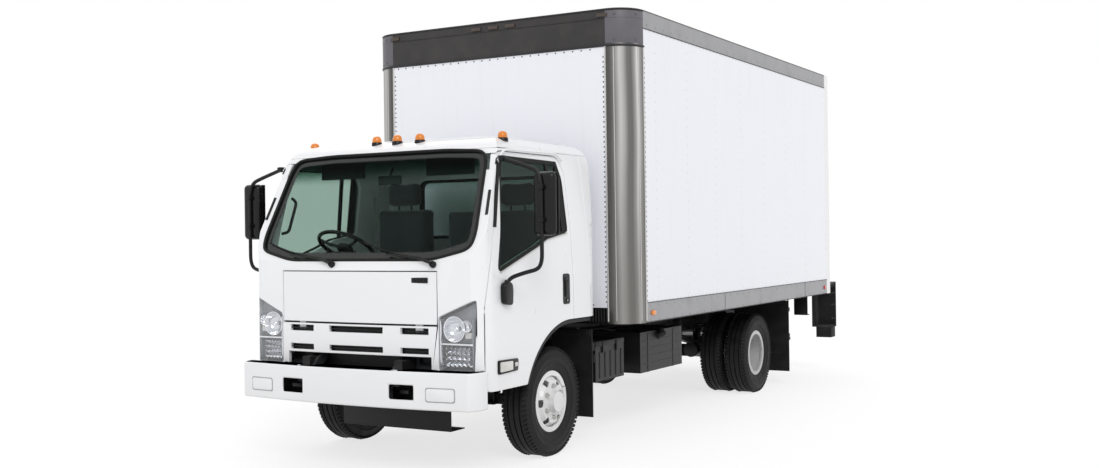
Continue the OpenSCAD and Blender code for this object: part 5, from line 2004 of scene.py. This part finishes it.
@dataclass
class FrontWheel:
    """A front wheel: tyre, white disc with hand holes, nuts, hub and valve."""

    side: float
    x: float = 0.832
    y: float = 0.0
    z: float = WHEEL_RADIUS
    face: float = 0.931
    hub: float = 0.900

    def build(self) -> None:
        """Builds the wheel's pieces on its rolling body."""
        word = "left" if self.side > 0 else "right"
        body = f"wheel_front_{word}"
        tyre = Tyre(self.x, self.y)
        rubber = tyre.lugs(tyre.shape(Solid()))
        rubber.flip(self.side).piece(f"front_tread_{word}", body, TYRE, "tyre_black", [f"front_tyre_{word}"])
        refined(f"front_rim_{word}", WHEEL_WHITE, 0.0035)
        centre = Vector((0.0, self.y, self.z))
        nuts = Solid()
        for k in range(6):
            a = FULL_TURN * (k + 0.5) / 6
            spot = Vector((0.0, NUT_CIRCLE * math.cos(a), NUT_CIRCLE * math.sin(a))) + centre
            for start, end, r0, r1, sides, bevel in (
                (-0.012, -0.004, 0.021, 0.019, 24, 0.002), (-0.006, 0.016, 0.0165, 0.0145, 6, 0.002),
                (0.016, 0.024, 0.008, 0.007, 12, 0.001),
            ):
                low, high = (self.face + start, spot.y, spot.z), (self.face + end, spot.y, spot.z)
                nuts.rod(low, high, r0, r1, sides, bevel)
        nuts.flip(self.side).piece(f"front_wheel_nuts_{word}", body, ZINC, "wheel_white")
        ring = Solid().lathe([(0.048, self.hub + 0.004), (0.070, self.hub + 0.004), (0.074, self.hub - 0.004),
                              (0.074, self.hub - 0.020), (0.048, self.hub - 0.020)], centre, Axis.X, 48)
        plug = [(0.0, self.hub - 0.001), (0.03, self.hub - 0.001), (0.05, self.hub - 0.010),
                (0.0, self.hub - 0.012)]
        ring.lathe(plug, centre, Axis.X, 40)
        ring.flip(self.side).piece(f"front_hub_ring_{word}", body, DARK_HUB, "wheel_white")
        cap = Solid().lathe([(0.0, self.hub + 0.030), (0.014, self.hub + 0.029), (0.026, self.hub + 0.022),
                             (0.031, self.hub + 0.010), (0.032, self.hub - 0.004), (0.0, self.hub - 0.004)],
                            centre, Axis.X, 40)
        valve = [(self.face - 0.012, self.y + 0.150, self.z + 0.092),
                 (self.face + 0.018, self.y + 0.140, self.z + 0.085)]
        cap.tube(valve, 0.004, 2)
        cap.flip(self.side).piece(f"front_hub_cap_{word}", body, ZINC, "wheel_white")


@dataclass
class RearWheels:
    """A pair of twin wheels that turn as one body."""

    side: float
    y: float = WHEELBASE
    z: float = WHEEL_RADIUS
    track: float = 0.825
    pitch: float = 0.252

    def build(self) -> None:
        """Builds the pair's pieces."""
        word = "left" if self.side > 0 else "right"
        body = f"wheels_rear_{word}"
        rubber = Solid()
        for x in (self.track - self.pitch / 2, self.track + self.pitch / 2):
            tyre = Tyre(x, self.y)
            tyre.lugs(tyre.shape(rubber))
        rubber.flip(self.side).piece(f"rear_treads_{word}", body, TYRE, "tyre_black", [f"rear_tyres_{word}"])
        # The rear rims take the darker copy of the wheel white, which paints in their shade.
        refined(f"rear_rims_{word}", WHEEL_WHITE_SHADED, 0.003)
        disc = self.track + 0.030
        nuts = Solid()
        for k in range(6):
            a = FULL_TURN * (k + 0.5) / 6
            y, z = self.y + NUT_CIRCLE * math.cos(a), self.z + NUT_CIRCLE * math.sin(a)
            nuts.rod((disc - 0.010, y, z), (disc + 0.020, y, z), 0.0165, 0.0145, 6, 0.002)
            nuts.rod((disc + 0.020, y, z), (disc + 0.036, y, z), 0.009, 0.008, 12, 0.001)
        centre = Vector((0.0, self.y, self.z))
        hub = [(0.0, disc + 0.085), (0.045, disc + 0.083), (0.058, disc + 0.074), (0.062, disc - 0.01),
               (0.0, disc - 0.01)]
        nuts.lathe(hub, centre, Axis.X, 40)
        for k in range(8):
            a = FULL_TURN * k / 8
            y, z = self.y + 0.047 * math.cos(a), self.z + 0.047 * math.sin(a)
            nuts.rod((disc + 0.078, y, z), (disc + 0.090, y, z), 0.007, 0.006, 6, 0.001)
        nuts.flip(self.side).piece(f"rear_wheel_nuts_{word}", body, DARK_HUB, "wheel_grey")
        edge = [(0.196, 1.0315), (0.2035, 1.0325), (0.2065, 1.0295), (0.2035, 1.026), (0.196, 1.027)]
        lip = Solid().lathe(edge, centre, Axis.X, 72)
        lip.flip(self.side).piece(f"rear_rim_lip_{word}", body, WHEEL_WHITE, "wheel_grey")


@dataclass
class Underbody:
    """Straps, caps, clamps, hoses, dampers and brackets along the frame."""

    def build(self) -> None:
        """Builds the parts group by group."""
        self.tank()
        self.box()
        self.running_gear()
        self.frame_details()
        self.flaps()

    def tank(self) -> None:
        """Fuel tank straps, filler and seams."""
        tank = Solid()
        for y in (1.58, 2.08):
            for x0, x1, z0, z1 in (
                (0.925, 0.9335, 0.44, 0.75), (0.50, 0.925, 0.755, 0.7635), (0.50, 0.925, 0.4265, 0.435),
            ):
                tank.box((x0, y - 0.022, z0), (x1, y + 0.022, z1), 0.002, 1)
        tank.rod((0.90, 1.78, 0.70), (0.955, 1.78, 0.735), 0.036, 0.036, 32, 0.005)
        tank.rod((0.955, 1.78, 0.735), (0.972, 1.78, 0.746), 0.042, 0.039, 20, 0.004)
        for k in range(4):
            z = 0.50 + 0.062 * k
            tank.box((0.926, 1.46, z - 0.006), (0.9315, 2.21, z + 0.006), 0.002, 1)
        tank.piece("tank_straps", "chassis", TANK, "tank_black")

    def box(self) -> None:
        """Battery box lid, catches and ribs."""
        box = Solid().box((0.495, 0.695, 0.700), (0.906, 1.185, 0.748), 0.010, 2)
        for y in (0.82, 1.05):
            box.box((0.900, y - 0.016, 0.655), (0.912, y + 0.016, 0.735), 0.003, 1)
        for k in range(5):
            box.box((0.898, 0.76 + 0.09 * k, 0.46), (0.9045, 0.785 + 0.09 * k, 0.66), 0.003, 1)
        box.piece("battery_box_lid", "chassis", TRIM, "tank_black")

    def running_gear(self) -> None:
        """Spring clamps, dampers, brake chambers, the bumper stay's bolt and the track rod."""
        clamps, damper = Solid(), Solid()
        for y in (0.0, WHEELBASE):
            spread = 0.065
            for x in (0.40, 0.47):
                for dy in (-spread, spread):
                    clamps.rod((x, y + dy, 0.36), (x, y + dy, 0.60), 0.008, sides=12, bevel=0.001)
            clamps.box((0.385, y - 0.09, 0.345), (0.485, y + 0.09, 0.362), 0.004, 1)
            damper.rod((0.33, y + 0.02, 0.36), (0.35, y + 0.26, 0.66), 0.032, 0.032, 20, 0.004)
            damper.rod((0.345, y + 0.20, 0.60), (0.352, y + 0.30, 0.73), 0.042, 0.042, 20, 0.004)
        y = 3.66
        damper.rod((0.46, y - 0.14, 0.42), (0.46, y + 0.02, 0.42), 0.075, 0.075, 28, 0.012)
        damper.rod((0.46, y + 0.02, 0.42), (0.46, y + 0.06, 0.42), 0.055, 0.030, 24, 0.006)
        clamps.mirror().piece("spring_clamps", "chassis", CHASSIS, "chassis_black")
        damper.mirror().piece("dampers", "chassis", TANK, "chassis_black")
        rust = Solid().box((0.86, -0.935, 0.462), (0.93, -0.900, 0.535), 0.008, 2)
        rust.rod((0.88, -0.92, 0.50), (0.88, -0.86, 0.50), 0.014, sides=12, bevel=0.002)
        rust.piece("bumper_stay_bolt", "chassis", RUST, "cast_grey")
        links = Solid().tube([(-0.62, 0.17, 0.33), (0.62, 0.17, 0.33)], 0.016, 3)
        links.piece("track_rod", "chassis", CHASSIS, "chassis_black")

    def frame_details(self) -> None:
        """Bolt heads, hoses, body mounts and side brackets along the rails, and the tail pipe."""
        bolts = Solid()
        places = [placed((0.4265, -0.75 + 0.182 * k, z), TO_SIDE) for k in range(34) for z in (0.635, 0.745)]
        bolts.stamp(places, lambda s: s.rod((0, 0, -0.001), (0, 0, 0.010), 0.012, 0.010, 6))
        bolts.mirror().piece("rail_bolt_heads", "chassis", CAST_GREY, "chassis_black")
        hoses = Solid()
        for offset, radius, z in ((0.0, 0.009, 0.79), (0.025, 0.006, 0.72), (0.05, 0.006, 0.66)):
            path = []
            for k in range(22):
                t = k / 21
                sag = 0.012 * abs(math.sin(t * 15.0 + offset * 90))
                path.append((0.445 + offset * 0.3, 0.40 + 4.3 * t, z - sag))
            hoses.tube(path, radius, 2)
        battery_lead = [(0.44, 0.50, 0.80), (0.62, 0.52, 0.83), (0.70, 0.60, 0.80), (0.72, 0.70, 0.745)]
        hoses.tube(eased3(battery_lead, 0.05), 0.012, 2)
        hoses.tube(eased3([(0.45, 1.30, 0.78), (0.60, 1.36, 0.80), (0.70, 1.44, 0.77)], 0.05), 0.010, 2)
        hoses.mirror().piece("frame_hoses", "chassis", SEAL, "flap_rubber")
        mounts = Solid()
        for y in (1.05, 1.75, 2.45, 3.15, 4.55, 5.2):
            mounts.box((0.425, y - 0.05, 0.70), (0.437, y + 0.05, 0.86), 0.003, 1)
            mounts.rod((0.437, y, 0.84), (0.448, y, 0.84), 0.013, 0.012, 6, 0.001)
        mounts.box((0.43, 0.62, 0.60), (0.93, 0.635, 0.66), 0.004, 1)
        mounts.box((0.60, 0.600, 0.52), (0.80, 0.640, 0.86), 0.010, 2)
        mounts.mirror().piece("body_mounts", "chassis", CHASSIS, "chassis_black")
        route = [(-0.62, 2.70, 0.60), (-0.60, 3.20, 0.60), (-0.56, 3.30, 0.62)]
        tail = Solid().tube(eased3(route, 0.05), 0.036, 3)
        tail.piece("tail_pipe_end", "chassis", EXHAUST, "exhaust_steel")

    def flaps(self) -> None:
        """Bolts and stiffening bars of the mud flaps."""
        bolts = Solid()
        for y, x0, x1, z in ((0.472, 0.66, 0.98, 0.835), (4.447, 0.57, 1.14, 0.845)):
            for k in range(5):
                x = x0 + 0.03 + (x1 - x0 - 0.06) * k / 4
                bolts.rod((x, y + 0.001, z), (x, y - 0.010, z), 0.010, 0.008, 8, 0.001)
            bolts.box((x0 + 0.004, y - 0.005, z - 0.018), (x1 - 0.004, y + 0.001, z + 0.018), 0.002, 1)
        for z in (0.27, 0.30):
            bolts.box((0.57, 4.4445, z - 0.003), (1.14, 4.449, z + 0.003), 0.001, 1)
        bolts.mirror().piece("flap_bolts", "chassis", CHASSIS, "chassis_black")


@dataclass
class Knuckles:
    """Brake back plates and eased knuckles behind the front wheels."""

    def build(self) -> None:
        """Builds one plate on each steered body and eases its knuckle."""
        for side, word in ((LEFT, "left"), (RIGHT, "right")):
            rim = [(0.06, 0.728), (0.150, 0.728), (0.156, 0.736), (0.156, 0.742), (0.06, 0.742)]
            plate = Solid().lathe(rim, (0.0, 0.0, WHEEL_RADIUS), Axis.X, 48)
            plate.flip(side).piece(f"brake_plate_{word}", f"knuckle_{word}", CAST_GREY, "chassis_black")
            refined(f"knuckle_{word}", CHASSIS, 0.004)


PLAIN_NODES = {
    "frame_rails": CHASSIS, "crossmembers": CHASSIS, "front_axle": CHASSIS, "rear_axle": CHASSIS,
    "cross_sills": SILL, "long_sills": SILL, "leaf_springs": CHASSIS, "drive_shaft": CHASSIS,
    "engine_block": CAST_GREY, "fuel_tank": TANK,
    "battery_box": TANK, "exhaust": EXHAUST, "mud_flaps": FLAP, "box_floor": SILL,
    "box_front_wall": PANEL, "box_side_walls": PANEL, "box_roof": ROOF, "box_corner_posts": POST,
    "box_front_cap": CAP, "box_side_rails": RAIL, "rear_frame": FRAME_WHITE, "roll_door": ROLL_PANEL,
    "liftgate_frame": CHASSIS, "lift_arms": CHASSIS, "lift_platform": CHASSIS,
    "cab_floor": INTERIOR, "wheel_flares": TRIM, "dashboard": INTERIOR,
}


def main() -> None:
    """Builds the studio and each sub-assembly in order."""
    logging.basicConfig(level=logging.INFO, format="%(name)s: %(message)s")
    Studio().build()
    sides = (LEFT, RIGHT)
    parts = [
        CabShell(), FrontMask(), Headlamps(), Glazing(), RoofLamps(), Interior(), BoxTrim(), RearEnd(),
        Underbody(), Knuckles(),
        *(kind(side) for kind in (Mirror, DoorTrim, FrontWheel, RearWheels) for side in sides),
    ]
    for part in parts:
        log.info("building %s", type(part).__name__)
        part.build()
    for node, finish in PLAIN_NODES.items():
        refined(node, finish, 0.0015 if finish in (PANEL, CAP) else 0.0)


if __name__ == "__main__":
    main()
